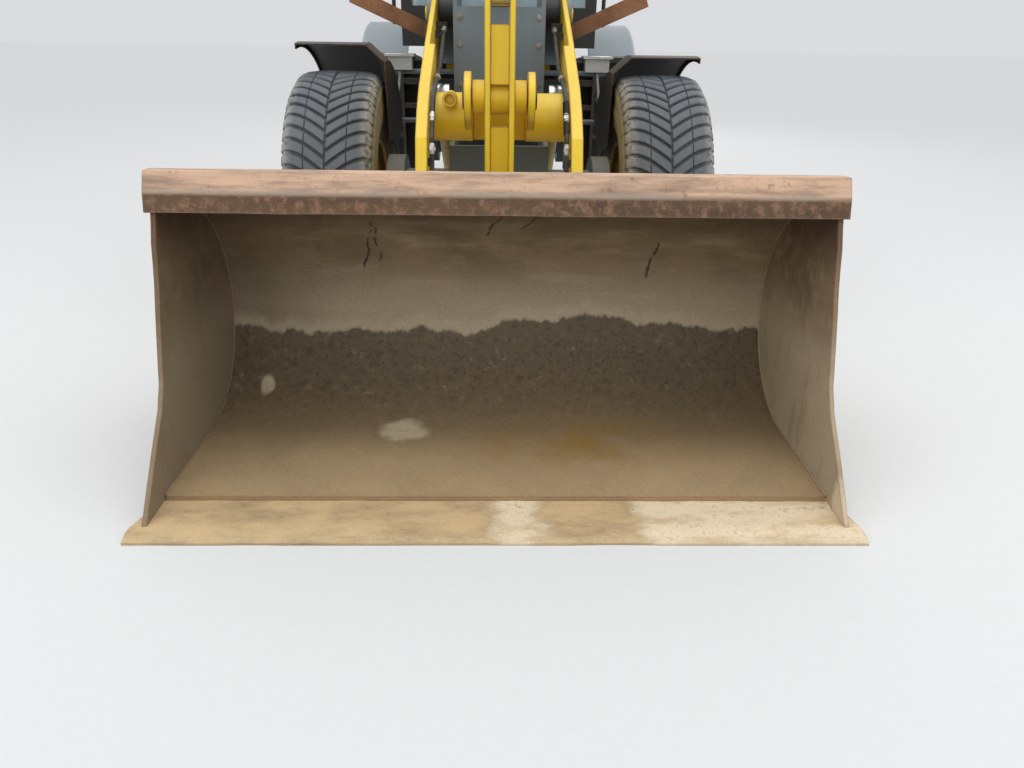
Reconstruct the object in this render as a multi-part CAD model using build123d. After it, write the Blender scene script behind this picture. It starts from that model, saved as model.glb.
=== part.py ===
from build123d import *
import os
from math import atan2, cos, hypot, pi, radians, sin

# Articulated wheel loader at rest: bucket flat on the ground, arms down.
# Millimetres. X points to the machine's left side, Z up from the ground.
# While modelling, Y runs rearwards from the bucket's cutting edge; at the
# end all pieces move forward by half the length, so that the origin is
# under the middle of the machine.

# Whole machine
LENGTH = 7600.0
WHEELBASE = 3000.0
FRONT_AXLE_Y = 2753.0
REAR_AXLE_Y = FRONT_AXLE_Y + WHEELBASE
HITCH_Y = FRONT_AXLE_Y + WHEELBASE / 2

# Running and standing clearances
PIN_FIT = 0.05
SIDE_GAP = 5.0
SOFT_GAP = 0.3

# Wheels
TYRE_R = 745.0
TYRE_W = 520.0
TYRE_WALL = 45.0
LUGS = 24
LUG_SHARE = 0.6
LUG_SLANT = radians(9)
LUG_DEPTH = 22.0
CENTRE_GROOVE = 30.0
TREAD_HALF = 236.0
SHOULDER_DROP = 14.0
BEAD_R = 320.0
RIM_W = 430.0
RIM_WALL = 14.0
FLANGE = 9.0
RIM_DISC = 24.0
WHEELS_OUTER = 2470.0
WHEEL_X = (WHEELS_OUTER - TYRE_W) / 2
AXLE_Z = TYRE_R

# Axles
AXLE_TUBE_R = 165.0
DIFF_R = 225.0
DIFF_HALF = 190.0
TRUNNION_R = 100.0
TRUNNION_HALF = 300.0
DRUM_R = 250.0
DRUM_IN_X = 590.0
DRUM_OUT_X = 700.0
SPINDLE_R = 60.0
PAD_TOP_Z = 930.0

# Bucket
EDGE_W = 2785.0
SHELL_W = 2685.0
SHEET = 20.0
FLOOR_Z = 50.0
EDGE_DEPTH = 300.0
EDGE_THICK = 30.0
EDGE_TIP = 8.0
EDGE_BEVEL = 70.0
FLOOR_LAP = 250.0
BACK_C = (813.0, 565.0)
BACK_R = 515.0
BACK_END_DEG = 58.3
TOP_SHEET = 405.0
LIP_W = 2725.0
LIP_THICK = 20.0
EAR_THICK = 35.0
HEEL_W = 90.0
HEELS_X = (250.0, 760.0, 1240.0)
HEEL_Y = (330.0, 900.0)
HINGE_LUG_R = 112.0
LINK_LUG_R = 95.0

# Hinge points as (y, z)
HINGE_K = (1500.0, 400.0)
LINK_M = (1430.0, 648.0)
LEVER_P = (1940.0, 1413.0)
LEVER_L = (1930.0, 600.0)
LEVER_T = (1900.0, 1923.0)
ARM_A = (3430.0, 1820.0)
TILT_B = (3150.0, 1980.0)
LIFT_C = (3600.0, 720.0)
LIFT_D = (2660.0, 1360.0)

# Lift arms
ARM_OUT_X = 438.0
ARM_THICK = 32.0
DOUBLER = 30.0
ARM_K_R = 98.0
ARM_A_R = 160.0
ARM_KNEE = (1858.0, 1000.0, 108.0)
ARM_WAIST = (1806.0, 880.0, 90.0)
ARM_HEEL = (3240.0, 1760.0, 130.0)
TUBE_C = (2170.0, 1290.0)
TUBE_R = 127.5
BRACKET_X = (146.0, 184.0)
BRACKET_R = 125.0
BRACKET_FOOT_R = 90.0
TUBE_CUT = 20.0
STUB = 60.0
ARM_IN_X = ARM_OUT_X - ARM_THICK

# Lever and link between its plates
LEVER_X = (47.5, 77.5)
LEVER_P_R = 130.0
LEVER_T_R = 95.0
LEVER_L_R = 88.0
LEVER_HUB_R = 85.0
LEVER_WEB = 30.0
LINK_R = 80.0
LINK_HALF = LEVER_X[0] - SIDE_GAP

# Pins
PIN_K_R = 40.0
PIN_P_R = 45.0
PIN_M_R = 35.0
PIN_A_R = 45.0
PIN_B_R = 40.0
PIN_C_R = 35.0
PIN_S_R = 30.0
PIN_HITCH_R = 45.0
CAP = 10.0
CAP_MORE = 16.0
HEAD_K_R = 92.0
HEAD_K_W = 46.0

# Cylinders
TILT_BARREL_R = 80.0
TILT_ROD_R = 42.0
TILT_BARREL_L = 780.0
LIFT_X = 349.0
LIFT_BARREL_R = 51.0
LIFT_ROD_R = 32.0
LIFT_BARREL_L = 900.0
LIFT_EYE_HALF = 46.0
STEER_BASE = (500.0, 5100.0)
STEER_END = (320.0, 4133.0)
STEER_Z = 820.0
STEER_BARREL_R = 42.0
STEER_ROD_R = 24.0
STEER_BARREL_L = 620.0
STEER_EYE_R = 52.0
STEER_EYE_HALF = 28.0
STEER_PLATE = 24.0
STEER_EAR_R = 48.0
STEER_EAR_Y = 3700.0

# Front frame
TOWER_X = 292.0
FRAME_PLATE = 30.0
FACE_Y = 3020.0
FACE_Z = (1180.0, 1860.0)
FRAME_NOSE_Y = 2350.0
FRAME_NOSE_Z = (930.0, 1110.0)
FRAME_LOW_Z = 560.0
FRAME_FLOOR_Y = 3120.0
FRONT_END_Y = 3870.0
FRONT_END_Z = 1240.0
TILT_SHELF = (3400.0, 1810.0, 1840.0)
LUG_R = 120.0
LUG_THICK = 60.0
HITCH_Z = (640.0, 1140.0)
EAR_IN_X = ARM_OUT_X + SIDE_GAP + 2
EAR_R = 115.0
EAR_BACK_Y = (3615.0, 3655.0)
EAR_BACK_Z = (1500.0, 1960.0)
BOSS_R = 110.0

# Rear frame
REAR_X = 300.0
REAR_FRONT_Y = 4610.0
REAR_BACK_Y = LENGTH - 300
REAR_Z = (545.0, 1230.0)
SHAFT_Z = 880.0
SHAFT_R = 45.0
WEIGHT_W = 2300.0
WEIGHT_Z = (640.0, 1260.0)
WEIGHT_Y = LENGTH - 520
WEIGHT_BEVEL = 90.0
TOW_Y = LENGTH - 60
TOW_PIN_R = 20.5
TOW_MOUTH = 90.0
TOW_JAW_Z = (760.0, 860.0, 900.0)
GEARBOX_X = 250.0
GEARBOX_Y = (4960.0, 5400.0)
GEARBOX_Z = (640.0, 1220.0)

# Cab
CAB_X = 735.0
CAB_Y = (4100.0, 5450.0)
CAB_Z = (1600.0, 3270.0)
CAB_WALL = 40.0
SILL_Z = 1880.0
ROOF_Z = 3130.0
GLASS = 8.0
POST = 85.0
DOOR_Y = (4330.0, 5060.0)
DOOR_HINGE_X = 752.0
DOOR_HINGE_Z = (1800.0, 2950.0)
DOOR_PIN_R = 8.0
WHEEL_HAND_R = 200.0
ROOF_BEVEL = 45.0
ROOF_EDGE = 40.0
DOOR_GAP = 6.0
DOOR_RIM = 60.0
DOOR_KNUCKLE_R = 14.0
GLASS_IN = 10.0
SEAT_X = (180.0, 240.0, 260.0)
SEAT_Y = (4880.0, 4950.0, 5230.0, 5290.0, 5330.0)
SEAT_Z = (1960.0, 2080.0, 2700.0)
COLUMN = ((0.0, 4400.0), (0.0, 4560.0), 2330.0, 45.0)
HAND_WHEEL = (4580.0, 2345.0, -25.0)
DASH = (350.0, 4330.0, 1850.0)

# Hood
HOOD_X = 600.0
HOOD_Y = (5560.0, LENGTH - 100)
HOOD_Z = (1330.0, 2240.0)
HOOD_WALL = 25.0
HOOD_HINGE = (LENGTH - 210, 1420.0)
HOOD_SLOPE = (90.0, 130.0)
HOOD_SLOTS_Y = (6380.0, 6960.0)
HOOD_SLOTS_Z = (1560.0, 1640.0, 1720.0, 1800.0, 1880.0)
HOOD_SLOT = 26.0
GRILLE_DEEP = 40.0
GRILLE_RIM = 50.0
GRILLE_BAR = 22.0
GRILLE_STEP = 80.0
ENGINE_X = 255.0
ENGINE_Y = (HOOD_Y[0] + 490, LENGTH - 550)
ENGINE_Z = (1000.0, 1950.0)
HOOD_PIN_R = 14.0
HOOD_EAR_X = (380.0, 400.0)

# Fenders, from the axle's centre line
FENDER_X = (790.0, 1207.0)
FENDER_THICK = 8.0
REAR_FENDER_R = 1010.0
REAR_FENDER_THICK = 12.0
REAR_FENDER_X = (800.0, 1225.0)
REAR_FENDER_SPAN = (-42.0, 30.0)
REAR_FENDER_ROLL = 25.0
REAR_FENDER_LIP = 70.0

# Mounts, ladders and small fittings of the rear body
CAB_BEAM_Y = (4640.0, 5300.0)
CAB_BEAM = (560.0, 90.0, 110.0)
CAB_PAD = (520.0, 45.0)
HOOD_BEAM_Y = (5590.0, 5650.0)
HOOD_BEAM_H = 60.0
FENDER_POST_X = (620.0, 660.0)
FENDER_POST_Z = (1700.0, 1760.0)
GEARBOX_FEET = (5080.0, 5260.0, 900.0, 960.0)
PLATFORM = (740.0, 1200.0, 4640.0, 5000.0, 1480.0, 1520.0)
RUNG_X = (820.0, 1180.0)
RUNG_Y = (4640.0, 4840.0)
RUNGS_Z = (560.0, 860.0, 1170.0)
RUNG_H = 30.0
RAIL_W = 20.0
LADDER_ARMS = ((REAR_X, 1100.0, 1140.0), (560.0, 1290.0, 1340.0))
SIDE_BOX = (690.0, 4870.0, 5400.0, 900.0, 1220.0)
TANK = (600.0, 1185.0, 4850.0, 4980.0, 560.0, 1470.0)
EXHAUST = (330.0, 5750.0, 55.0, 3050.0)
RAIL_OUT = 60.0
RAIL_Z = (1750.0, 2700.0)
RAIL_R = 15.0
MIRROR_X = (1000.0, 1040.0, 1180.0)
MIRROR_Z = (2480.0, 2720.0, 2750.0, 2780.0)
WORK_LAMP = (550.0, 58.0, 70.0)


def block(x0, x1, y0, y1, z0, z1):
    """A box between two values on each axis."""
    centre = Pos((x0 + x1) / 2, (y0 + y1) / 2, (z0 + z1) / 2)
    return centre * Box(x1 - x0, y1 - y0, z1 - z0)


def slab(lines, x0, x1):
    """A plate from x0 to x1 whose closed outline is drawn in (y, z)."""
    return extrude(Plane.YZ.offset(x0) * make_face(lines), amount=x1 - x0)


def cut_plate(points, x0, x1):
    """A straight-edged plate from x0 to x1, its corners given as (y, z)."""
    return slab(Polyline(*points, close=True), x0, x1)


def hull_plate(circles, x0, x1):
    """A plate from x0 to x1 around circles given as (y, z, radius)."""
    rounds = [(Pos(y, z) * Circle(r)).edge() for y, z, r in circles]
    return extrude(Plane.YZ.offset(x0) * make_hull(rounds), amount=x1 - x0)


def rod(y, z, radius, x0, x1):
    """A round bar along X."""
    return Pos((x0 + x1) / 2, y, z) * Rot(0, 90, 0) * Cylinder(radius, x1 - x0)


def post(x, y, radius, z0, z1):
    """A round bar along Z."""
    return Pos(x, y, (z0 + z1) / 2) * Cylinder(radius, z1 - z0)


def tube(start, end, radius):
    """A round bar from one point to another."""
    run = Vector(*end) - Vector(*start)
    place = Plane(origin=start, z_dir=run)
    shape = Cylinder(radius, run.length, align=(Align.CENTER, Align.CENTER, Align.MIN))
    return place * shape


def pair(solid):
    """A solid with its mirror image across the machine's middle plane."""
    return solid + mirror(solid, about=Plane.YZ)


def between(start, end, distance):
    """The point at a distance from start towards end, in a plane."""
    run = hypot(end[0] - start[0], end[1] - start[1])
    share = distance / run
    return (start[0] + (end[0] - start[0]) * share, start[1] + (end[1] - start[1]) * share)


# Bucket

def on_back(radius, degrees_up):
    """A point of the bucket's round back, at an angle above its centre."""
    a = radians(degrees_up)
    return (BACK_C[0] + radius * cos(a), BACK_C[1] + radius * sin(a))


def top_end(radius):
    """Where the flat top sheet ends at the lip, inner or outer face."""
    y, z = on_back(radius, BACK_END_DEG)
    turn = radians(BACK_END_DEG + 90)
    return (y + TOP_SHEET * cos(turn), z + TOP_SHEET * sin(turn))


def back_lines(radius, start_y):
    """Floor, round back and top sheet as one chain of lines and an arc."""
    low = (BACK_C[0], BACK_C[1] - radius)
    return [
        Line((start_y, low[1]), low),
        ThreePointArc(low, on_back(radius, (BACK_END_DEG - 90) / 2), on_back(radius, BACK_END_DEG)),
        Line(on_back(radius, BACK_END_DEG), top_end(radius)),
    ]


SIDE_FRONT = [
    (628.0, 1085.0),
    (588.0, 980.0),
    (553.0, 840.0),
    (487.0, 650.0),
    (425.0, 453.0),
    (372.0, 366.0),
    (228.0, 211.0),
    (70.0, EDGE_THICK),
]


def bucket_shell():
    half = SHELL_W / 2
    outer_r = BACK_R + SHEET
    inner = back_lines(BACK_R, FLOOR_LAP)
    outer = back_lines(outer_r, FLOOR_LAP)
    ends = [
        Line((FLOOR_LAP, BACK_C[1] - BACK_R), (FLOOR_LAP, BACK_C[1] - outer_r)),
        Line(top_end(BACK_R), top_end(outer_r)),
    ]
    sheet = slab(inner + outer + ends, -half, half)
    front = Polyline(*SIDE_FRONT)
    closing = [
        Line(SIDE_FRONT[-1], (FLOOR_LAP, SIDE_FRONT[-1][1])),
        Line(top_end(outer_r), SIDE_FRONT[0]),
    ]
    side = slab([front] + closing + outer, half - SHEET, half)
    for x in HEELS_X:
        side += block(x - HEEL_W / 2, x + HEEL_W / 2, *HEEL_Y, 0, EDGE_THICK)
    return sheet + pair(side)


def bucket_lugs():
    """Plates on the bucket's back that take the arms' pins and the link's pin."""
    behind = rod(*BACK_C, BACK_R + SHEET, -SHELL_W, SHELL_W) + block(0, SHELL_W, 0, BACK_C[0], 0, BACK_C[1])
    y, z = LINK_M
    lugs = hull_plate([(y, z, LINK_LUG_R), (1240, 480, 30), (1200, 860, 30)], *LEVER_X)
    for x in (ARM_IN_X - 2 * SIDE_GAP - DOUBLER - EAR_THICK, ARM_OUT_X + 2 * SIDE_GAP):
        lugs += hull_plate([(*HINGE_K, HINGE_LUG_R), (1150, 200, 40), (1240, 760, 40)], x, x + EAR_THICK)
    lugs -= rod(*HINGE_K, PIN_K_R + PIN_FIT, 0, 600)
    lugs -= rod(*LINK_M, PIN_M_R + PIN_FIT, 0, 200)
    return pair(lugs - behind)


def cutting_edge():
    half = EDGE_W / 2
    plan = Polyline(
        (-half, 0), (half, 0), (half, 45), (SHELL_W / 2, 215), (SHELL_W / 2, EDGE_DEPTH),
        (-SHELL_W / 2, EDGE_DEPTH), (-SHELL_W / 2, 215), (-half, 45), close=True,
    )
    plate = extrude(make_face(plan), amount=EDGE_THICK)
    bevel = cut_plate([(-1, EDGE_TIP), (EDGE_BEVEL, EDGE_THICK), (EDGE_BEVEL, 60), (-1, 60)], -half - 1, half + 1)
    return plate - bevel


LIP_FRONT = [(617.0, 1089.0), (636.0, 1163.0), (672.0, 1237.0)]


def spill_lip():
    inner, outer = top_end(BACK_R), top_end(BACK_R + SHEET)
    crease_in = (LIP_FRONT[1][0] + LIP_THICK, LIP_FRONT[1][1] - 4)
    points = LIP_FRONT + [outer, inner, crease_in, (LIP_FRONT[0][0] + LIP_THICK, LIP_FRONT[0][1] - 4)]
    bar = cut_plate(points, -LIP_W / 2, LIP_W / 2)
    return bar - bucket_shell()


# Lift arms

ARM_TOP = [(1752.0, 1047.0), (1828.0, 1222.0), (1945.0, 1338.0), (2111.0, 1446.0), (2615.0, 1664.0), (3230.0, 1905.0)]
ARM_LOW = [(3380.0, 1670.0), (2900.0, 1400.0), (2560.0, 1230.0), (2300.0, 1085.0), (2080.0, 930.0), (1900.0, 700.0)]
DOUBLER_END = [(2590.0, 1653.0), (2290.0, 1110.0)]


def lift_arms():
    shape = cut_plate(ARM_TOP + ARM_LOW, ARM_IN_X, ARM_OUT_X)
    nose = [(*HINGE_K, ARM_K_R), ARM_KNEE, ARM_WAIST]
    heel = hull_plate([(*ARM_A, ARM_A_R), ARM_HEEL], ARM_IN_X, ARM_OUT_X)
    plate = shape + hull_plate(nose, ARM_IN_X, ARM_OUT_X) + heel
    inner_points = ARM_TOP[:4] + DOUBLER_END + ARM_LOW[3:]
    inner = cut_plate(inner_points, ARM_IN_X - DOUBLER, ARM_IN_X)
    inner += hull_plate(nose, ARM_IN_X - DOUBLER, ARM_IN_X)
    side = plate + inner
    side -= rod(*HINGE_K, PIN_K_R + PIN_FIT, 0, SHELL_W / 2)
    side += rod(*ARM_A, PIN_A_R, ARM_IN_X - STUB, ARM_OUT_X + STUB)
    side += rod(*LIFT_D, PIN_C_R + CAP_MORE, ARM_OUT_X, ARM_OUT_X + CAP)
    bracket = hull_plate([(*LEVER_P, BRACKET_R), (*TUBE_C, BRACKET_FOOT_R)], *BRACKET_X)
    bracket -= rod(*LEVER_P, PIN_P_R + PIN_FIT, 0, ARM_IN_X)
    cross = rod(*TUBE_C, TUBE_R, -ARM_IN_X, ARM_IN_X)
    y, z = TUBE_C
    cross -= block(-BRACKET_X[0], BRACKET_X[0], y - TUBE_R - 1, y + TUBE_CUT, z - TUBE_R - 1, z + TUBE_R + 1)
    return pair(side + bracket) + cross


HOSE_R = 13.0
HOSE_LINE = [
    (3120.0, 1745.0), (2640.0, 1530.0), (2200.0, 1452.0), (2025.0, 1405.0), (1850.0, 1215.0), (1790.0, 980.0),
]
HOSE_BEND = 45.0
HOSE_ROOM = 9.0
HOSE_END = (22.0, 26.0)
HOSE_CLIP = (12.0, 20.0)
HOSE_CLIP_RUN = 120.0
COUPLING_R = 38.0
COUPLING_WALL = 12.0
COUPLING_X = 265.0
COUPLING_RISE = 105.0
COUPLING_Y = (-185.0, -65.0)
COUPLING_MOUTH = 40.0
COUPLING_FOOT = (40.0, -110.0, -60.0)


def arm_hoses():
    """One hose down the inner face of each arm, between two end blocks."""
    arm_x = ARM_IN_X - DOUBLER
    x = arm_x - HOSE_R - HOSE_ROOM
    path = FilletPolyline(*[(x, y, z) for y, z in HOSE_LINE], radius=HOSE_BEND)
    hose = sweep(Plane(path @ 0, z_dir=path % 0) * Circle(HOSE_R), path=path)
    for place, out_x in ((HOSE_LINE[0], ARM_IN_X), (HOSE_LINE[-1], arm_x)):
        hose += held_block(x - HOSE_R - 7, out_x, place, HOSE_END)
    for start, end, out_x in ((0, 1, ARM_IN_X), (4, 5, arm_x)):
        hose += held_block(x, out_x, between(HOSE_LINE[start], HOSE_LINE[end], HOSE_CLIP_RUN), HOSE_CLIP)
    return pair(hose)


def held_block(x0, x1, place, half):
    """A block from x0 to x1 about a place in (y, z), with half its depth and height."""
    return block(x0, x1, place[0] - half[0], place[0] + half[0], place[1] - half[1], place[1] + half[1])


def quick_coupling():
    """A coupling with a round mouth on the cross tube, on the right side only."""
    y, z = TUBE_C
    front, back = y + COUPLING_Y[0], y + COUPLING_Y[1]
    rise = z + COUPLING_RISE
    body = tube((-COUPLING_X, front, rise), (-COUPLING_X, back, rise), COUPLING_R)
    mouth_end = front + COUPLING_MOUTH - 5
    mouth = tube((-COUPLING_X, front - 5, rise), (-COUPLING_X, mouth_end, rise), COUPLING_R - COUPLING_WALL)
    wide, foot_front, foot_back = COUPLING_FOOT
    foot = block(-COUPLING_X - wide / 2, -COUPLING_X + wide / 2, y + foot_front, y + foot_back, z, rise - 15)
    return body + foot - mouth - rod(y, z, TUBE_R, -ARM_IN_X, ARM_IN_X)


# Lever, link and pins

def bell_crank():
    y, z = LEVER_P
    plates = hull_plate([(*LEVER_T, LEVER_T_R), (y, z, LEVER_P_R)], *LEVER_X)
    plates += hull_plate([(*LEVER_L, LEVER_L_R), (y, z, LEVER_P_R)], *LEVER_X)
    plates += rod(*LEVER_T, PIN_B_R + CAP_MORE, LEVER_X[1], LEVER_X[1] + CAP)
    plates += rod(*LEVER_L, PIN_M_R + CAP_MORE, LEVER_X[1], LEVER_X[1] + CAP)
    hub = rod(y, z, LEVER_HUB_R, -BRACKET_X[0] + SIDE_GAP, BRACKET_X[0] - SIDE_GAP)
    web_x = LEVER_X[0]
    web = block(-web_x, web_x, 1860, 1860 + LEVER_WEB, 870, 1275)
    web += block(-web_x, web_x, 1840, 1840 + LEVER_WEB, 1480, 1760)
    return pair(plates) + hub + web - rod(y, z, PIN_P_R + PIN_FIT, -300, 300)


def tilt_link():
    bar = hull_plate([(*LINK_M, LINK_R * 0.7), (*LEVER_L, LINK_R * 0.7)], -LINK_HALF * 0.7, LINK_HALF * 0.7)
    bar += rod(*LINK_M, LINK_R, -LINK_HALF, LINK_HALF)
    bar += rod(*LEVER_L, LINK_R, -LINK_HALF, LINK_HALF)
    return bar - rod(*LINK_M, PIN_M_R + PIN_FIT, -200, 200)


def bucket_pins():
    """Two pins with a wide round head on the outer side of the bucket's ears."""
    x0 = ARM_IN_X - DOUBLER - 2 * SIDE_GAP - EAR_THICK
    x1 = ARM_OUT_X + 2 * SIDE_GAP + EAR_THICK
    pin = rod(*HINGE_K, PIN_K_R, x0 - 4, x1 + 4)
    pin += rod(*HINGE_K, HEAD_K_R, x1 + SOFT_GAP, x1 + HEAD_K_W)
    return pair(pin)


def lever_pin():
    pin = rod(*LEVER_P, PIN_P_R, -BRACKET_X[1] - 4, BRACKET_X[1] + 4)
    cap = rod(*LEVER_P, PIN_P_R + CAP_MORE, BRACKET_X[1] + SOFT_GAP, BRACKET_X[1] + CAP)
    return pin + pair(cap)


def link_pin():
    pin = rod(*LINK_M, PIN_M_R, -LEVER_X[1] - 4, LEVER_X[1] + 4)
    cap = rod(*LINK_M, PIN_M_R + CAP_MORE, LEVER_X[1] + SOFT_GAP, LEVER_X[1] + CAP)
    return pin + pair(cap)


# Cylinders

def ram(base, end, x, half, barrel_r, rod_r, barrel_l, eye_r, pin_r):
    """Barrel and rod in the (y, z) plane at x, each with its eye."""
    head = between(base, end, barrel_l)
    start = between(base, end, eye_r * 1.4)
    root = between(base, end, eye_r * 0.7)
    stop = between(end, base, eye_r * 0.8)
    barrel = tube((x, *start), (x, *head), barrel_r)
    barrel += tube((x, *root), (x, *start), min(barrel_r, half - 2))
    barrel += rod(*base, eye_r, x - half, x + half)
    bore_end = between(base, end, eye_r * 1.8)
    barrel -= tube((x, *bore_end), (x, *between(base, end, barrel_l + 1)), rod_r + PIN_FIT)
    barrel -= rod(*base, pin_r + PIN_FIT, x - half - 1, x + half + 1)
    inside = between(base, end, barrel_l * 0.45)
    piston = tube((x, *inside), (x, *stop), rod_r)
    piston += rod(*end, eye_r, x - half, x + half)
    return barrel, piston


def tilt_cylinder():
    return ram(TILT_B, LEVER_T, 0, LINK_HALF, TILT_BARREL_R, TILT_ROD_R, TILT_BARREL_L, 88, PIN_B_R)


def lift_cylinders():
    barrel, piston = ram(
        LIFT_C, LIFT_D, LIFT_X, LIFT_EYE_HALF, LIFT_BARREL_R, LIFT_ROD_R, LIFT_BARREL_L, 72, PIN_C_R
    )
    return pair(barrel), pair(piston)


def steer_cylinder(side):
    """Barrel and rod of one steering cylinder, lying flat at STEER_Z."""
    base = Vector(side * STEER_BASE[0], STEER_BASE[1], STEER_Z)
    end = Vector(side * STEER_END[0], STEER_END[1], STEER_Z)
    along = (end - base).normalized()
    root = base + along * (STEER_EYE_R * 0.7)
    start = base + along * (STEER_EYE_R * 1.5)
    head = base + along * STEER_BARREL_L
    low, high = STEER_Z - STEER_EYE_HALF, STEER_Z + STEER_EYE_HALF
    barrel = tube(tuple(start), tuple(head), STEER_BARREL_R)
    barrel += tube(tuple(root), tuple(start), STEER_EYE_HALF - 2)
    barrel += post(base.X, base.Y, STEER_EYE_R, low, high)
    bore = tube(tuple(base + along * STEER_EYE_R * 2), tuple(head + along), STEER_ROD_R + PIN_FIT)
    barrel -= bore
    barrel -= post(base.X, base.Y, PIN_S_R + PIN_FIT, low - 1, high + 1)
    inside = base + along * (STEER_BARREL_L * 0.56)
    stop = end - along * (STEER_EYE_R * 0.8)
    piston = tube(tuple(inside), tuple(stop), STEER_ROD_R)
    piston += post(end.X, end.Y, STEER_EYE_R, low, high)
    return barrel, piston


# Wheels and axles

def wheel_profile(points, x, y):
    """A body of revolution about an axle, from (outward x, radius) points."""
    outline = Polyline(*points, close=True)
    face = Plane.XY * make_face(outline)
    ring = revolve(face, axis=Axis.X)
    return Pos(x, y, AXLE_Z) * ring


def tyre_rings():
    """Circles of the tyre's right half as (x, radius), from lug shoulder to inner wall."""
    bead_x = RIM_W / 2 - FLANGE
    bead_r = (BEAD_R + SOFT_GAP) / cos(pi / LUGS)
    half = TYRE_W / 2
    return [
        (half - 2, TYRE_R - 95), (half, TYRE_R - 235), (bead_x, BEAD_R + 42), (bead_x, bead_r),
        (bead_x - TYRE_WALL, bead_r), (half - TYRE_WALL, TYRE_R - 235), (TREAD_HALF - TYRE_WALL, TYRE_R - 80),
    ]


def tyre(x, y):
    """Casing and slanting lugs, built from flat triangles on circles of points."""
    pitch = 2 * pi / LUGS
    triangles = []

    def point(px, radius, angle):
        return (px, radius * sin(angle), radius * cos(angle))

    def fill(side, first, second, third, fourth=None):
        """A triangle or a four-cornered face, facing outwards on either half."""
        faces = [(first, second, third)]
        if fourth:
            faces.append((first, third, fourth))
        triangles.extend(faces if side > 0 else [face[::-1] for face in faces])

    for side in (1, -1):
        rings = tyre_rings()
        # one half's lugs stand between the other half's
        shift = pi + (0 if side > 0 else pitch / 2)
        for i in range(LUGS):
            start = shift + i * pitch
            a0, a1, b0 = start, start + LUG_SHARE * pitch, start + pitch
            c0, c1, d0 = a0 + LUG_SLANT, a1 + LUG_SLANT, b0 + LUG_SLANT
            near, far = side * CENTRE_GROOVE / 2, side * TREAD_HALF
            floor_r, end_r = TYRE_R - LUG_DEPTH, TYRE_R - LUG_DEPTH - SHOULDER_DROP
            top_end_r = TYRE_R - SHOULDER_DROP
            in0, in1, in2 = (point(near, floor_r, a) for a in (a0, a1, b0))
            top0, top1 = point(near, TYRE_R, a0), point(near, TYRE_R, a1)
            out0, out1, out2 = (point(far, end_r, a) for a in (c0, c1, d0))
            high0, high1 = point(far, top_end_r, c0), point(far, top_end_r, c1)
            fill(side, top0, high0, high1, top1)
            fill(side, in0, out0, high0, top0)
            fill(side, top1, high1, out1, in1)
            fill(side, in0, top0, top1, in1)
            fill(side, high0, out0, out1, high1)
            fill(side, in1, out1, out2, in2)
            wall = [[point(side * rx, r, c0 + k * pitch) for rx, r in rings] for k in (0, 1)]
            fill(side, out0, wall[0][0], out1)
            fill(side, out1, wall[0][0], wall[1][0])
            fill(side, out1, wall[1][0], out2)
            for k in range(len(rings) - 1):
                fill(side, wall[0][k], wall[0][k + 1], wall[1][k + 1], wall[1][k])
    turns = [pi + i * pitch / 2 for i in range(2 * LUGS)]
    near = CENTRE_GROOVE / 2
    floor_r = TYRE_R - LUG_DEPTH
    ring_x, ring_r = tyre_rings()[-1]
    right = [[a, a + LUG_SHARE * pitch] for a in turns[0::2]]
    left = [[a, a + LUG_SHARE * pitch] for a in turns[1::2]]
    triangles += zipped(
        [point(near, floor_r, a) for pair_of in right for a in pair_of],
        [point(-near, floor_r, a) for pair_of in left for a in pair_of],
    )
    inner_right = [point(ring_x, ring_r, a + LUG_SLANT) for a in turns[0::2]]
    inner_left = [point(-ring_x, ring_r, a + LUG_SLANT) for a in turns[1::2]]
    triangles += [face[::-1] for face in zipped(inner_right, inner_left)]
    faces = [Face(Wire.make_polygon([Vector(*corner) for corner in face])) for face in triangles]
    return Pos(x, y, AXLE_Z) * Solid(Shell(faces))


def zipped(first, second):
    """Triangles between two closed rings of points, taken in turn round the axle."""
    def turn(corner):
        return atan2(corner[1], corner[2]) % (2 * pi)

    first, second = sorted(first, key=turn), sorted(second, key=turn)
    triangles = []
    i = j = 0
    while i < len(first) or j < len(second):
        a, b = first[i % len(first)], second[j % len(second)]
        next_a = turn(first[(i + 1) % len(first)]) + (2 * pi if i + 1 >= len(first) else 0)
        next_b = turn(second[(j + 1) % len(second)]) + (2 * pi if j + 1 >= len(second) else 0)
        if j >= len(second) or (i < len(first) and next_a <= next_b):
            triangles.append((a, first[(i + 1) % len(first)], b))
            i += 1
        else:
            triangles.append((a, second[(j + 1) % len(second)], b))
            j += 1
    return triangles


def rim(x, y):
    side = 1 if x > 0 else -1
    half = RIM_W / 2
    edge = half - FLANGE + SOFT_GAP
    barrel = [
        (-half, BEAD_R + 26), (-half, BEAD_R - RIM_WALL), (half, BEAD_R - RIM_WALL), (half, BEAD_R + 26),
        (edge, BEAD_R + 26), (edge, BEAD_R), (-edge, BEAD_R), (-edge, BEAD_R + 26),
    ]
    ring = wheel_profile(barrel, x, y)
    disc_x = x - side * 40
    disc = rod(y, AXLE_Z, BEAD_R - 2, disc_x - RIM_DISC / 2, disc_x + RIM_DISC / 2)
    hub_in = side * (DRUM_OUT_X + SIDE_GAP)
    hub_out = disc_x + side * 90
    hub = rod(y, AXLE_Z, 150, min(hub_in, hub_out), max(hub_in, hub_out))
    bore = rod(y, AXLE_Z, SPINDLE_R + PIN_FIT, min(hub_in, hub_in + side * 120), max(hub_in, hub_in + side * 120))
    return ring + disc + hub - bore


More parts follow.
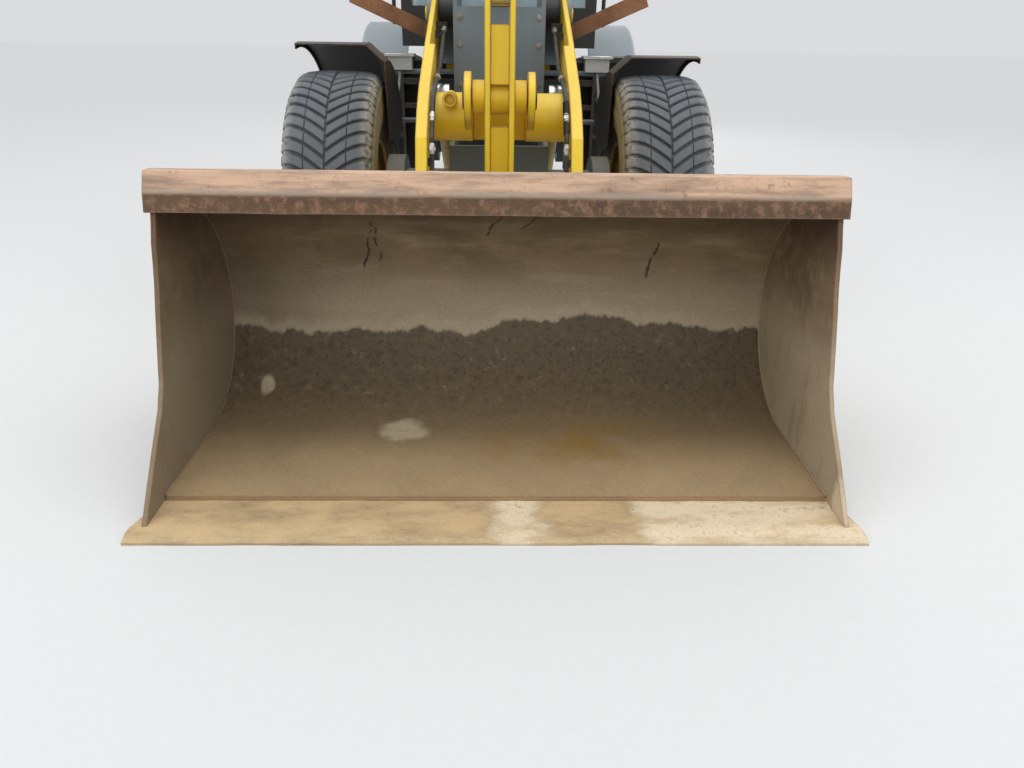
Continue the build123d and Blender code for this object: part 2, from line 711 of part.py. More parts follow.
def axle(y, on_trunnions):
    beam = rod(y, AXLE_Z, AXLE_TUBE_R, -DRUM_IN_X, DRUM_IN_X)
    beam += rod(y, AXLE_Z, DIFF_R, -DIFF_HALF, DIFF_HALF)
    drums = pair(rod(y, AXLE_Z, DRUM_R, DRUM_IN_X, DRUM_OUT_X))
    spindles = pair(rod(y, AXLE_Z, SPINDLE_R, DRUM_OUT_X, DRUM_OUT_X + 110))
    if on_trunnions:
        hold = tube((0, y - TRUNNION_HALF, AXLE_Z), (0, y + TRUNNION_HALF, AXLE_Z), TRUNNION_R)
    else:
        hold = pair(block(TOWER_X - FRAME_PLATE - 20, TOWER_X + 20, y - 120, y + 120, AXLE_Z, PAD_TOP_Z))
    return beam + drums + spindles + hold


# Front frame

TOWER_SIDE = [
    (FRAME_NOSE_Y, FRAME_NOSE_Z[0]), (FRAME_NOSE_Y, FRAME_NOSE_Z[1]), (2700.0, 1160.0), (FACE_Y, 1230.0),
    (FACE_Y, 1990.0), (3090.0, 2100.0), (3230.0, 2100.0), (3480.0, 2060.0), (3660.0, 1980.0), (3660.0, 1330.0),
    (FRONT_END_Y, FRONT_END_Z), (FRONT_END_Y, FRAME_LOW_Z), (FRAME_FLOOR_Y, FRAME_LOW_Z), (3030.0, 700.0),
    (3010.0, FRAME_NOSE_Z[0]),
]


def front_frame():
    inner = TOWER_X - FRAME_PLATE
    side = cut_plate(TOWER_SIDE, inner, TOWER_X)
    face = block(-inner, inner, FACE_Y, FACE_Y + FRAME_PLATE, *FACE_Z)
    nose = block(-inner, inner, FRAME_NOSE_Y, FRAME_NOSE_Y + FRAME_PLATE, *FRAME_NOSE_Z)
    floor = block(-inner, inner, FRAME_FLOOR_Y, FRONT_END_Y, FRAME_LOW_Z, FRAME_LOW_Z + FRAME_PLATE)
    rear = block(-inner, inner, FRONT_END_Y - FRAME_PLATE, FRONT_END_Y, FRAME_LOW_Z + FRAME_PLATE, FRONT_END_Z)
    back, low, high = TILT_SHELF
    tilt_ears = pair(hull_plate([(*TILT_B, 100), (3090, low + 60, 40), (3300, low + 60, 40)], *LEVER_X))
    shelf = block(-inner, inner, FACE_Y + FRAME_PLATE, back, low, high)
    pin_b = rod(*TILT_B, PIN_B_R, -LEVER_X[1] - CAP, LEVER_X[1] + CAP)
    frame = pair(side) + face + nose + floor + rear + tilt_ears + shelf + pin_b
    for z in HITCH_Z:
        plate = block(-LUG_R, LUG_R, FRONT_END_Y - 1, HITCH_Y, z - LUG_THICK / 2, z + LUG_THICK / 2)
        frame += plate + post(0, HITCH_Y, LUG_R, z - LUG_THICK / 2, z + LUG_THICK / 2)
        frame -= post(0, HITCH_Y, PIN_HITCH_R, z - LUG_THICK, z + LUG_THICK)
    frame -= tube((0, 2900, SHAFT_Z), (0, FRONT_END_Y + 10, SHAFT_Z), SHAFT_R + 25)
    return frame


def steer_ears():
    """Plates on the front frame's sides that hold the ends of the steering cylinders."""
    x, y = STEER_END
    ears = None
    for gap in (-1, 1):
        z = STEER_Z + gap * (STEER_EYE_HALF + SIDE_GAP + STEER_PLATE / 2)
        low, high = z - STEER_PLATE / 2, z + STEER_PLATE / 2
        ear = block(TOWER_X, x, STEER_EAR_Y, y + STEER_EAR_R, low, high)
        ear += post(x, y, STEER_EAR_R, low, high) - block(0, TOWER_X, y - 100, y + 100, low, high)
        ears = pair(ear) if ears is None else ears + pair(ear)
    return ears


def tower_ears():
    """Outer plates that hold the arms' pins from outside, on a plate behind the tower."""
    ear = hull_plate([(*ARM_A, EAR_R), (3625, 1560, 30), (3625, 1930, 30)], EAR_IN_X, EAR_IN_X + EAR_THICK)
    back = block(TOWER_X, EAR_IN_X + EAR_THICK, *EAR_BACK_Y, *EAR_BACK_Z)
    return pair(ear + back - rod(*ARM_A, PIN_A_R + PIN_FIT, TOWER_X, 600))


def frame_pins():
    """Hitch pins, arm pivots and the lift cylinders' lower pins."""
    pivot = rod(*ARM_A, BOSS_R, TOWER_X, ARM_IN_X - SIDE_GAP) - rod(*ARM_A, PIN_A_R + PIN_FIT, TOWER_X, 600)
    washer = LIFT_X + LIFT_EYE_HALF + 4
    foot = rod(*LIFT_C, PIN_C_R, TOWER_X, washer) + rod(*LIFT_C, PIN_C_R + CAP_MORE, washer, washer + CAP)
    pins = pair(pivot + foot)
    for z in HITCH_Z:
        low, high = z - LUG_THICK / 2 - 50, z + LUG_THICK / 2 + 50
        pins += post(0, HITCH_Y, PIN_HITCH_R, low, high)
    return pins


def arc_fender(y, centre_z, radius, start_deg, end_deg, x0, x1, thick):
    """A curved plate round an axle, angles from straight up, rearwards."""
    def at(r, deg):
        return (y + r * sin(radians(deg)), centre_z + r * cos(radians(deg)))
    mid = (start_deg + end_deg) / 2
    outer, inner = radius + thick, radius
    lines = [
        ThreePointArc(at(outer, start_deg), at(outer, mid), at(outer, end_deg)),
        Line(at(outer, end_deg), at(inner, end_deg)),
        ThreePointArc(at(inner, end_deg), at(inner, mid), at(inner, start_deg)),
        Line(at(inner, start_deg), at(outer, start_deg)),
    ]
    return slab(lines, x0, x1)


FRONT_FENDERS = [(-1, 905.0), (1, 855.0)]
FENDER_SPAN = (-8.0, 58.0)
FENDER_INNER_X = 682.0
FENDER_FOLD = 98.0
FENDER_PANEL = 560.0
FENDER_LIP = 32.0


def folded_fender(y, points, span):
    """A folded sheet turned round an axle, its section given as (x, radius)."""
    start, end = span
    face = make_face(Polyline(*points, close=True))
    arc = revolve(face, axis=Axis.X, revolution_arc=end - start)
    return Pos(0, y, AXLE_Z) * Rot(90 - end, 0, 0) * arc


def front_fenders():
    result = None
    sheet = FENDER_THICK
    for side, radius in FRONT_FENDERS:
        fold_r, low_r = radius - FENDER_FOLD, radius - FENDER_PANEL
        inner, fold_x, outer = FENDER_INNER_X, *FENDER_X
        points = [
            (outer, radius - FENDER_LIP), (outer, radius), (fold_x, radius), (inner, fold_r), (inner, low_r),
            (inner + sheet, low_r), (inner + sheet, fold_r - sheet / 2), (fold_x + sheet / 2, radius - sheet),
            (outer - sheet, radius - sheet), (outer - sheet, radius - FENDER_LIP),
        ]
        piece = folded_fender(FRONT_AXLE_Y, [(side * px, r) for px, r in points], FENDER_SPAN)
        result = piece if result is None else result + piece
    return result


STAY_HIGH = (3650.0, 1445.0)
STAY_LOW = (3560.0, 1120.0)
STAY_R = 17.0
STAY_X = (700.0, 716.0)
CLAMP_R = 26.0
CLAMP_W = 35.0
TREAD_X = (600.0, 810.0)
TREAD_Y = (3560.0, 3730.0)
TREAD_Z = (1545.0, 1560.0)
TREAD_BOX = (20.0, 40.0, 90.0)


def front_steps():
    """Small treads on the fenders' stays, each over a box."""
    in_x, in_y, deep = TREAD_BOX
    plate = block(*TREAD_X, *TREAD_Y, *TREAD_Z)
    low, high = TREAD_Z[0] - deep, TREAD_Z[0]
    box = block(TREAD_X[0] + in_x, TREAD_X[1] - in_x, TREAD_Y[0] + in_y, TREAD_Y[1] - 30, low, high)
    return pair(plate + box) - fender_stays()


def fender_stays():
    plate_in, plate_out = STAY_X
    stays = pair(
        rod(*STAY_HIGH, STAY_R, TOWER_X, FENDER_X[0] + 10)
        + rod(*STAY_LOW, STAY_R, TOWER_X, plate_out)
        + rod(*STAY_HIGH, CLAMP_R, plate_in, plate_in + CLAMP_W)
    )
    turn = radians(FENDER_SPAN[1] - 5)
    for side, radius in FRONT_FENDERS:
        x0, x1 = sorted((side * plate_in, side * plate_out))
        reach = radius - CLAMP_R - 2 * FENDER_THICK
        end = (FRONT_AXLE_Y + reach * sin(turn), AXLE_Z + reach * cos(turn))
        stays += hull_plate([(*STAY_HIGH, CLAMP_R), (*end, CLAMP_R)], x0, x1)
        stays += hull_plate([(*STAY_LOW, CLAMP_R), (*end, CLAMP_R)], x0, x1)
    return stays - front_fenders()


LAMP_FOOT_Y = (3560.0, 3640.0)
LAMP_FOOT_Z = (1680.0, 1750.0)
LAMP_FOOT_W = 40.0
LAMP_BAR_W = 100.0
LAMP_BAR_T = 12.0
LAMP_X = 955.0
LAMP_Y = 3290.0
LAMP_Z = 2100.0
LAMP_R = 95.0
LAMP_DEEP = 110.0
LAMP_NECK = 20.0
LAMP_NECK_Z = (1950.0, 1995.0, 2040.0)


def lamp_neck(low, high):
    return block(LAMP_X - LAMP_NECK, LAMP_X + LAMP_NECK, LAMP_Y - 15, LAMP_Y + 15, low, high)


def lamp_brackets():
    """Slanting bars from the tower's outer plates up to the headlamps."""
    foot_x = EAR_IN_X + EAR_THICK
    foot = block(foot_x, foot_x + LAMP_FOOT_W, *LAMP_FOOT_Y, *LAMP_FOOT_Z)
    start = (foot_x + LAMP_FOOT_W - 10, sum(LAMP_FOOT_Y) / 2, sum(LAMP_FOOT_Z) / 2)
    end = (LAMP_X + 10, LAMP_Y, LAMP_NECK_Z[0] - 25)
    run = Vector(*end) - Vector(*start)
    place = Plane(origin=start, x_dir=(run.Y, -run.X, 0), z_dir=run)
    strip = place * Box(LAMP_BAR_T, LAMP_BAR_W, run.length, align=(Align.CENTER, Align.CENTER, Align.MIN))
    return pair(foot + strip + lamp_neck(*LAMP_NECK_Z[:2]))


def headlamps():
    lamp = tube((LAMP_X, LAMP_Y - LAMP_DEEP / 2, LAMP_Z), (LAMP_X, LAMP_Y + LAMP_DEEP / 2, LAMP_Z), LAMP_R)
    return pair(lamp + lamp_neck(*LAMP_NECK_Z[1:]))


def front_axle():
    shaft = tube((0, FRONT_AXLE_Y + 150, SHAFT_Z), (0, HITCH_Y - 75, SHAFT_Z), SHAFT_R)
    return axle(FRONT_AXLE_Y, False) + shaft


# Rear frame

def rear_frame():
    low, high = REAR_Z
    side = block(REAR_X - FRAME_PLATE, REAR_X, REAR_FRONT_Y, REAR_BACK_Y, low, high)
    side -= rod(REAR_AXLE_Y, AXLE_Z, AXLE_TUBE_R + 25, 0, 600)
    side -= block(0, 600, REAR_AXLE_Y - 190, REAR_AXLE_Y + 190, low - 1, AXLE_Z)
    front = block(-REAR_X, REAR_X, REAR_FRONT_Y, REAR_FRONT_Y + 40, low, high)
    back = block(-REAR_X, REAR_X, REAR_BACK_Y - 40, REAR_BACK_Y, low, high)
    frame = pair(side) + front + back
    frame -= tube((0, REAR_FRONT_Y - 10, SHAFT_Z), (0, REAR_FRONT_Y + 60, SHAFT_Z), SHAFT_R + 25)
    for y in (REAR_AXLE_Y - TRUNNION_HALF - 30, REAR_AXLE_Y + TRUNNION_HALF):
        frame += block(-REAR_X, REAR_X, y, y + 30, low, 960)
    for z in HITCH_Z:
        for gap in (-1, 1):
            mid = z + gap * (LUG_THICK + SIDE_GAP)
            plate = block(-LUG_R, LUG_R, HITCH_Y, REAR_FRONT_Y + 1, mid - 20, mid + 20)
            frame += plate + post(0, HITCH_Y, LUG_R, mid - 20, mid + 20)
        frame -= post(0, HITCH_Y, PIN_HITCH_R + PIN_FIT, z - 200, z + 200)
    return frame


def steer_brackets():
    """Forks on the rear frame that hold the steering cylinders."""
    x, y = STEER_BASE
    low_z, high_z = STEER_Z - STEER_EYE_HALF, STEER_Z + STEER_EYE_HALF
    fork = post(x, y, PIN_S_R, low_z - 20, high_z + 20)
    for gap in (-1, 1):
        z = STEER_Z + gap * (STEER_EYE_HALF + SIDE_GAP + STEER_PLATE / 2)
        low, high = z - STEER_PLATE / 2, z + STEER_PLATE / 2
        fork += block(REAR_X, x, y - 50, y + 50, low, high) + post(x, y, STEER_EYE_R + 3, low, high)
    return pair(fork)


def counterweight():
    half = WEIGHT_W / 2
    low, high = WEIGHT_Z
    cut = WEIGHT_BEVEL
    outline = [
        (WEIGHT_Y, low), (LENGTH - 2 * cut, low), (LENGTH, low + cut), (LENGTH, high - cut / 3),
        (LENGTH - cut / 3, high), (WEIGHT_Y, high),
    ]
    shape = cut_plate(outline, -half, half)
    shape -= block(-REAR_X, REAR_X, WEIGHT_Y - 1, REAR_BACK_Y, low - 1, high + 1)
    hinge_y, hinge_z = HOOD_HINGE
    ear = hull_plate([(hinge_y, hinge_z, 22), (hinge_y, high - 20, 22)], *HOOD_EAR_X)
    shape += pair(ear + rod(hinge_y, hinge_z, HOOD_PIN_R, HOOD_EAR_X[0], HOOD_EAR_X[1] + 34))
    jaw_low, jaw_high, shelf = TOW_JAW_Z
    shape -= block(-TOW_MOUTH, TOW_MOUTH, TOW_Y - 60, LENGTH + 1, jaw_low, jaw_high)
    shape -= block(-TOW_MOUTH, TOW_MOUTH, TOW_Y - 60, LENGTH + 1, shelf, high + 1)
    return shape - post(0, TOW_Y, TOW_PIN_R, low - 1, 950)


def engine():
    shape = block(-ENGINE_X, ENGINE_X, *ENGINE_Y, *ENGINE_Z)
    for y in (ENGINE_Y[0] + 150, ENGINE_Y[1] - 250):
        shape += pair(block(ENGINE_X, REAR_X - FRAME_PLATE, y, y + 120, ENGINE_Z[0] + 60, ENGINE_Z[0] + 140))
    return shape


def gearbox():
    """Gearbox on its feet, with the shaft and joint that reach the hitch."""
    feet = pair(block(GEARBOX_X, REAR_X - FRAME_PLATE, *GEARBOX_FEET))
    shaft = tube((0, HITCH_Y + 20, SHAFT_Z), (0, GEARBOX_Y[0], SHAFT_Z), SHAFT_R)
    shaft += post(0, HITCH_Y, 55, SHAFT_Z - 40, SHAFT_Z + 40)
    return block(-GEARBOX_X, GEARBOX_X, *GEARBOX_Y, *GEARBOX_Z) + feet + shaft


def cab_posts(x_in, x_out):
    """The posts of one side wall, from sill to roof."""
    shapes = []
    for y0, y1 in ((CAB_Y[0], CAB_Y[0] + POST), (DOOR_Y[1] + 5, DOOR_Y[1] + 5 + POST), (CAB_Y[1] - POST, CAB_Y[1])):
        shapes.append(block(x_in, x_out, y0, y1, SILL_Z, ROOF_Z))
    return shapes


def cab_frame():
    x, wall = CAB_X, CAB_WALL
    y0, y1 = CAB_Y
    z0, z1 = CAB_Z
    shell = chamfer(block(-x, x, y0, y1, z0, z1).edges().group_by(Axis.Z)[-1], ROOF_BEVEL)
    shell -= block(-x + wall, x - wall, y0 + wall, y1 - wall, z0 + wall, ROOF_Z)
    shell -= block(-x + POST, x - POST, y0 - 1, y1 + 1, SILL_Z, ROOF_Z - ROOF_EDGE)
    right_window = block(-x - 1, 0, y0 + POST, y1 - POST, SILL_Z, ROOF_Z - ROOF_EDGE)
    shell -= right_window
    shell -= block(0, x + 1, DOOR_Y[0], DOOR_Y[1], z0 + wall, ROOF_Z - ROOF_EDGE)
    shell -= block(0, x + 1, DOOR_Y[1] + POST, y1 - POST, SILL_Z, ROOF_Z - ROOF_EDGE)
    shell -= block(0, x + 1, y0 + POST, DOOR_Y[0] - POST, SILL_Z, ROOF_Z - ROOF_EDGE)
    for z in DOOR_HINGE_Z:
        for low in (z - 38, z + 28):
            shell += block(x, DOOR_HINGE_X + 12, 5052, 5095, low, low + 10)
        shell += post(DOOR_HINGE_X, DOOR_Y[1], DOOR_PIN_R, z - 38, z + 38)
    return shell


def cab_glass():
    x = CAB_X
    y0, y1 = CAB_Y
    top = ROOF_Z - ROOF_EDGE
    near, far = GLASS_IN, GLASS_IN + GLASS
    front = block(-x + POST, x - POST, y0 + near, y0 + far, SILL_Z, top)
    rear = block(-x + POST, x - POST, y1 - far, y1 - near, SILL_Z, top)
    right = block(-x + near, -x + far, y0 + POST, y1 - POST, SILL_Z, top)
    left = block(x - far, x - near, DOOR_Y[1] + POST, y1 - POST, SILL_Z, top)
    front_left = block(x - far, x - near, y0 + POST, DOOR_Y[0] - POST, SILL_Z, top)
    return front + rear + right + left + front_left


def body_mounts():
    """Cross beams on the rear frame, with pads for the cab, hood and fenders."""
    top = REAR_Z[1]
    mounts = None
    half, deep, high = CAB_BEAM
    pad_x, pad_r = CAB_PAD
    for y in CAB_BEAM_Y:
        beam = block(-half, half, y, y + deep, top, top + high)
        beam += pair(post(pad_x, y + deep / 2, pad_r, top + high, CAB_Z[0]))
        mounts = beam if mounts is None else mounts + beam
    front, back = HOOD_BEAM_Y
    beam_top = top + HOOD_BEAM_H
    inner, outer = FENDER_POST_X
    low, high = FENDER_POST_Z
    mounts += block(-outer, outer, front, back, top, beam_top)
    mounts += pair(block(HOOD_X - 35, HOOD_X - 5, front + 5, back - 5, beam_top, HOOD_Z[0]))
    mounts += pair(block(inner, outer, front, back, beam_top, low))
    mounts += pair(block(inner, REAR_FENDER_X[0] + 40, front, back, low, high))
    return mounts - rear_fenders() - rear_fender_room()


def rear_fender_room():
    """Everything above the rear fenders' sheet."""
    inner, outer = FENDER_POST_X[0] - 20, REAR_FENDER_X[1]
    return pair(arc_fender(REAR_AXLE_Y, AXLE_Z, REAR_FENDER_R, *REAR_FENDER_SPAN, inner, outer, 400))


def cab_door():
    y0, y1 = DOOR_Y[0] + DOOR_GAP, DOOR_Y[1] - DOOR_GAP
    z0, z1 = CAB_Z[0] + CAB_WALL + DOOR_GAP, ROOF_Z - ROOF_EDGE - DOOR_GAP
    frame = block(CAB_X - CAB_WALL, CAB_X, y0, y1, z0, z1)
    frame -= block(0, CAB_X + 1, y0 + DOOR_RIM, y1 - DOOR_RIM, SILL_Z, z1 - DOOR_RIM)
    for z in DOOR_HINGE_Z:
        knuckle = post(DOOR_HINGE_X, DOOR_Y[1], DOOR_KNUCKLE_R, z - 25, z + 25)
        knuckle += block(CAB_X, DOOR_HINGE_X + 8, 5005, 5052, z - 25, z + 25)
        frame += knuckle - post(DOOR_HINGE_X, DOOR_Y[1], DOOR_PIN_R + PIN_FIT, z - 30, z + 30)
    return frame


def door_glass():
    edge = DOOR_GAP + DOOR_RIM
    x = CAB_X - GLASS_IN
    return block(x - GLASS, x, DOOR_Y[0] + edge, DOOR_Y[1] - edge, SILL_Z, ROOF_Z - ROOF_EDGE - edge)


def seat():
    base_x, back_x, cushion_x = SEAT_X
    cushion_y, base_y, back_y, base_end, cushion_end = SEAT_Y
    low, high, top = SEAT_Z
    cushion = block(-cushion_x, cushion_x, cushion_y, cushion_end, low, high)
    back = block(-back_x, back_x, back_y, cushion_end + 10, high, top)
    base = block(-base_x, base_x, base_y, base_end, CAB_Z[0] + CAB_WALL, low)
    return cushion + back + base


def steering_column():
    floor = CAB_Z[0] + CAB_WALL
    foot, head, head_z, radius = COLUMN
    column = tube((*foot, floor + 12), (*head, head_z), radius)
    column += post(*foot, 80, floor, floor + 30)
    tilt = Pos(0, *HAND_WHEEL[:2]) * Rot(HAND_WHEEL[2], 0, 0)
    wheel = tilt * (Cylinder(WHEEL_HAND_R, 24) - Cylinder(WHEEL_HAND_R - 26, 30))
    hub = tilt * (Box(2 * WHEEL_HAND_R - 30, 40, 14) + Cylinder(50, 30))
    wide, back, top = DASH
    dash = block(-wide, wide, CAB_Y[0] + CAB_WALL, back, floor, top)
    return column + wheel + hub + dash


def rear_fenders():
    radius, sheet = REAR_FENDER_R + REAR_FENDER_THICK, REAR_FENDER_THICK
    inner, outer = REAR_FENDER_X
    roll, lip = REAR_FENDER_ROLL, radius - REAR_FENDER_LIP
    points = [
        (inner, radius), (outer - roll, radius), (outer, radius - roll), (outer, lip), (outer - sheet, lip),
        (outer - sheet, radius - roll - 5), (outer - roll - 5, radius - sheet), (inner, radius - sheet),
    ]
    return pair(folded_fender(REAR_AXLE_Y, points, REAR_FENDER_SPAN))


def side_steps():
    """Ladder and platform on each side of the rear frame."""
    piece = block(*PLATFORM)
    front, back = RUNG_Y
    for x, low, high in LADDER_ARMS:
        piece += block(x, RUNG_X[0], front + 10, front + 60, low, high)
    for z in RUNGS_Z:
        piece += block(*RUNG_X, front, back, z, z + RUNG_H)
    for x in (RUNG_X[0] - RAIL_W, RUNG_X[1]):
        piece += block(x, x + RAIL_W, front, back, RUNGS_Z[0] - 20, PLATFORM[4])
    return pair(piece)


def side_boxes():
    """Fuel tank on one side and battery box on the other, each with its high front part."""
    return pair(block(REAR_X, *SIDE_BOX) + block(*TANK))


def hood_section(inset):
    """The hood's outline across the machine, as (x, z), set in by a wall."""
    x, top = HOOD_X - inset, HOOD_Z[1] - inset
    in_x, down = HOOD_SLOPE
    right = [(x, HOOD_Z[0] - (1 if inset else 0)), (x, top - down), (x - in_x, top)]
    return right + [(-px, z) for px, z in reversed(right)]


def lengthwise(points, y0, y1):
    """A body from y0 to y1 whose outline is given as (x, z)."""
    face = Plane.XZ.offset(-y1) * make_face(Polyline(*points, close=True))
    return extrude(face, amount=y1 - y0)


def engine_hood():
    wall = HOOD_WALL
    y0, back = HOOD_Y[0], HOOD_Y[1] - GRILLE_DEEP
    shell = lengthwise(hood_section(0), y0, back)
    shell -= lengthwise(hood_section(wall), y0 + wall, back - wall)
    for z in HOOD_SLOTS_Z:
        shell -= block(-HOOD_X - 1, HOOD_X + 1, *HOOD_SLOTS_Y, z, z + HOOD_SLOT)
    hinge_y, hinge_z = HOOD_HINGE
    ear_in, ear_out = HOOD_EAR_X
    shell -= pair(block(ear_in - 20, ear_out + 8, back - wall - 1, back + 1, HOOD_Z[0] - 1, hinge_z + 8))
    knuckle = hull_plate([(hinge_y, hinge_z, 36), (back - 15, hinge_z + 10, 15)], ear_out + 8, ear_out + 28)
    knuckle -= rod(hinge_y, hinge_z, HOOD_PIN_R + PIN_FIT, 0, 500)
    return shell + pair(knuckle)


def rear_grille():
    x = HOOD_X - 30
    y0, y1 = HOOD_Y[1] - GRILLE_DEEP, HOOD_Y[1]
    z0, z1 = HOOD_Z[0] + 60, HOOD_Z[1] - HOOD_SLOPE[1] - 10
    frame = block(-x, x, y0, y1, z0, z1)
    frame -= block(-x + GRILLE_RIM, x - GRILLE_RIM, y0 - 1, y1 + 1, z0 + GRILLE_RIM, z1 - GRILLE_RIM)
    bars = int((z1 - z0 - 2 * GRILLE_RIM) / GRILLE_STEP)
    for i in range(1, bars + 1):
        z = z0 + GRILLE_RIM + i * GRILLE_STEP - GRILLE_STEP / 2
        frame += block(-x + GRILLE_RIM, x - GRILLE_RIM, y0, y1 - 12, z, z + GRILLE_BAR)
    return frame


def exhaust():
    x, y, radius, top = EXHAUST
    return post(x, y, radius, HOOD_Z[1], top)


def handrails():
    x, y = CAB_X + RAIL_OUT, CAB_Y[0] + 60
    low, high = RAIL_Z
    rails = post(x, y, RAIL_R, low, high)
    for z in (low + 20, high - 40):
        rails += block(CAB_X, x, y - 10, y + 10, z, z + 20)
    return pair(rails)


def mirrors():
    front = CAB_Y[0]
    inner, reach, outer = MIRROR_X
    low, foot, arm_z, high = MIRROR_Z
    arm = tube((CAB_X + 5, front + 30, arm_z), (reach, front - 30, arm_z), 12)
    arm += block(CAB_X, CAB_X + 10, front + 10, front + 50, foot, high)
    glass = block(inner, outer, front - 60, front - 30, low, high)
    return pair(arm + glass)


def work_lamps():
    x, radius, deep = WORK_LAMP
    y, z = CAB_Y[0] - 10, ROOF_Z + 45
    lamp = tube((x, y - deep, z), (x, y, z), radius)
    lamp += block(x - 20, x + 20, y - 20, CAB_Y[0], z - 40, z + 40)
    return pair(lamp)


def save(name, solid):
    """One piece to its own file, in the machine's final place."""
    export_step(Pos(0, -LENGTH / 2, 0) * solid, f"parts/{name}.step")


os.makedirs("parts", exist_ok=True)
tilt_barrel, tilt_rod = tilt_cylinder()
lift_barrels, lift_rods = lift_cylinders()
pieces = {
    "bucket_shell": bucket_shell(),
    "bucket_lugs": bucket_lugs(),
    "cutting_edge": cutting_edge(),
    "spill_lip": spill_lip(),
    "bucket_pins": bucket_pins(),
    "lift_arms": lift_arms(),
    "arm_hoses": arm_hoses(),
    "quick_coupling": quick_coupling(),
    "bell_crank": bell_crank(),
    "lever_pin": lever_pin(),
    "tilt_link": tilt_link(),
    "link_pin": link_pin(),
    "tilt_barrel": tilt_barrel,
    "tilt_rod": tilt_rod,
    "lift_barrels": lift_barrels,
    "lift_rods": lift_rods,
    "front_frame": front_frame(),
    "tower_ears": tower_ears(),
    "steer_ears": steer_ears(),
    "frame_pins": frame_pins(),
    "front_axle": front_axle(),
    "front_fenders": front_fenders(),
    "front_steps": front_steps(),
    "fender_stays": fender_stays(),
    "lamp_brackets": lamp_brackets(),
    "headlamps": headlamps(),
    "rear_frame": rear_frame(),
    "steer_brackets": steer_brackets(),
    "rear_axle": axle(REAR_AXLE_Y, True),
    "counterweight": counterweight(),
    "engine": engine(),
    "gearbox": gearbox(),
    "body_mounts": body_mounts(),
    "cab_frame": cab_frame(),
    "cab_glass": cab_glass(),
    "cab_door": cab_door(),
    "door_glass": door_glass(),
    "seat": seat(),
    "steering_column": steering_column(),
    "rear_fenders": rear_fenders(),
    "side_steps": side_steps(),
    "side_boxes": side_boxes(),
    "engine_hood": engine_hood(),
    "rear_grille": rear_grille(),
    "exhaust": exhaust(),
    "handrails": handrails(),
    "mirrors": mirrors(),
    "work_lamps": work_lamps(),
}
for side, word in ((1, "left"), (-1, "right")):
    barrel, piston = steer_cylinder(side)
    pieces[f"steer_barrel_{word}"] = barrel
    pieces[f"steer_rod_{word}"] = piston
    for end, y in (("front", FRONT_AXLE_Y), ("rear", REAR_AXLE_Y)):
        pieces[f"tyre_{end}_{word}"] = tyre(side * WHEEL_X, y)
        pieces[f"rim_{end}_{word}"] = rim(side * WHEEL_X, y)
for name, solid in pieces.items():
    save(name, solid)
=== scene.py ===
import math
import random

import bmesh
import bpy
from bpy.props import FloatProperty, FloatVectorProperty, IntProperty, PointerProperty
from mathutils import Matrix, Vector, noise


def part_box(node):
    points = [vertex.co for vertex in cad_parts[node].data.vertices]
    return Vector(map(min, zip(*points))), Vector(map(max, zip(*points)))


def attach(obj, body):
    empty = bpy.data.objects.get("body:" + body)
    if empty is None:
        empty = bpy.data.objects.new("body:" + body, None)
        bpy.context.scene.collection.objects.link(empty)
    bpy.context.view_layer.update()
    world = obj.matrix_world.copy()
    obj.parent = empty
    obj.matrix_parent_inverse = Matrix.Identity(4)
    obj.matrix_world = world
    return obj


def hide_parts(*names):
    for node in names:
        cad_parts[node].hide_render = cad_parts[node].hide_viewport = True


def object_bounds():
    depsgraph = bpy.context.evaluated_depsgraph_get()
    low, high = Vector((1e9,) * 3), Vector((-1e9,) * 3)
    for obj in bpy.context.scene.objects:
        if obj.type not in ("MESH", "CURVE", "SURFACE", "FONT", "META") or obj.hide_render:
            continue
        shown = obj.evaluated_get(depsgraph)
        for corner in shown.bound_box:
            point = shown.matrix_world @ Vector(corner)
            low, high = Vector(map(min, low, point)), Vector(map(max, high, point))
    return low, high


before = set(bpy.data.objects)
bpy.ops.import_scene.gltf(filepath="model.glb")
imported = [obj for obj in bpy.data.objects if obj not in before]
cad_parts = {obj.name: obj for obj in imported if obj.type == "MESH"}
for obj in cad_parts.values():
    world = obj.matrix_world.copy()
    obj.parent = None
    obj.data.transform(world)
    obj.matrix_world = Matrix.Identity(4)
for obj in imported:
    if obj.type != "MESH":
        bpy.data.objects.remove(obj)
CAD_LOW, CAD_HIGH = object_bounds()

bl_info = {
    "name": "Worn wheel loader",
    "version": (1, 0, 0),
    "blender": (4, 5, 0),
    "location": "View3D > Sidebar > Loader",
    "description": "Dresses the packed wheel loader in worn paint, mud, rubber and glass",
    "category": "Object",
}

# Places in the model's frame, in metres, read from the frame where it holds them
HALF_LENGTH = CAD_HIGH.y
FRONT_WHEEL = sum(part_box("tyre_front_left"), Vector()) / 2
REAR_WHEEL = sum(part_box("tyre_rear_left"), Vector()) / 2
TYRE_RADIUS = (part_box("tyre_front_left")[1].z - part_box("tyre_front_left")[0].z) / 2
TYRE_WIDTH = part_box("tyre_front_left")[1].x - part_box("tyre_front_left")[0].x
SHELL_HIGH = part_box("bucket_shell")[1]
LIP_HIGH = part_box("spill_lip")[1]
EDGE_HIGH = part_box("cutting_edge")[1]
SIDES = (("left", 1), ("right", -1))


# Colours and sizes that a user may change

def colour(name, description, default):
    """A colour for the sidebar."""
    return FloatVectorProperty(
        name=name, description=description, subtype="COLOR", size=3, min=0, max=1, default=default
    )


def length(name, description, default):
    """A length for the sidebar, in metres."""
    return FloatProperty(name=name, description=description, unit="LENGTH", min=0, default=default)


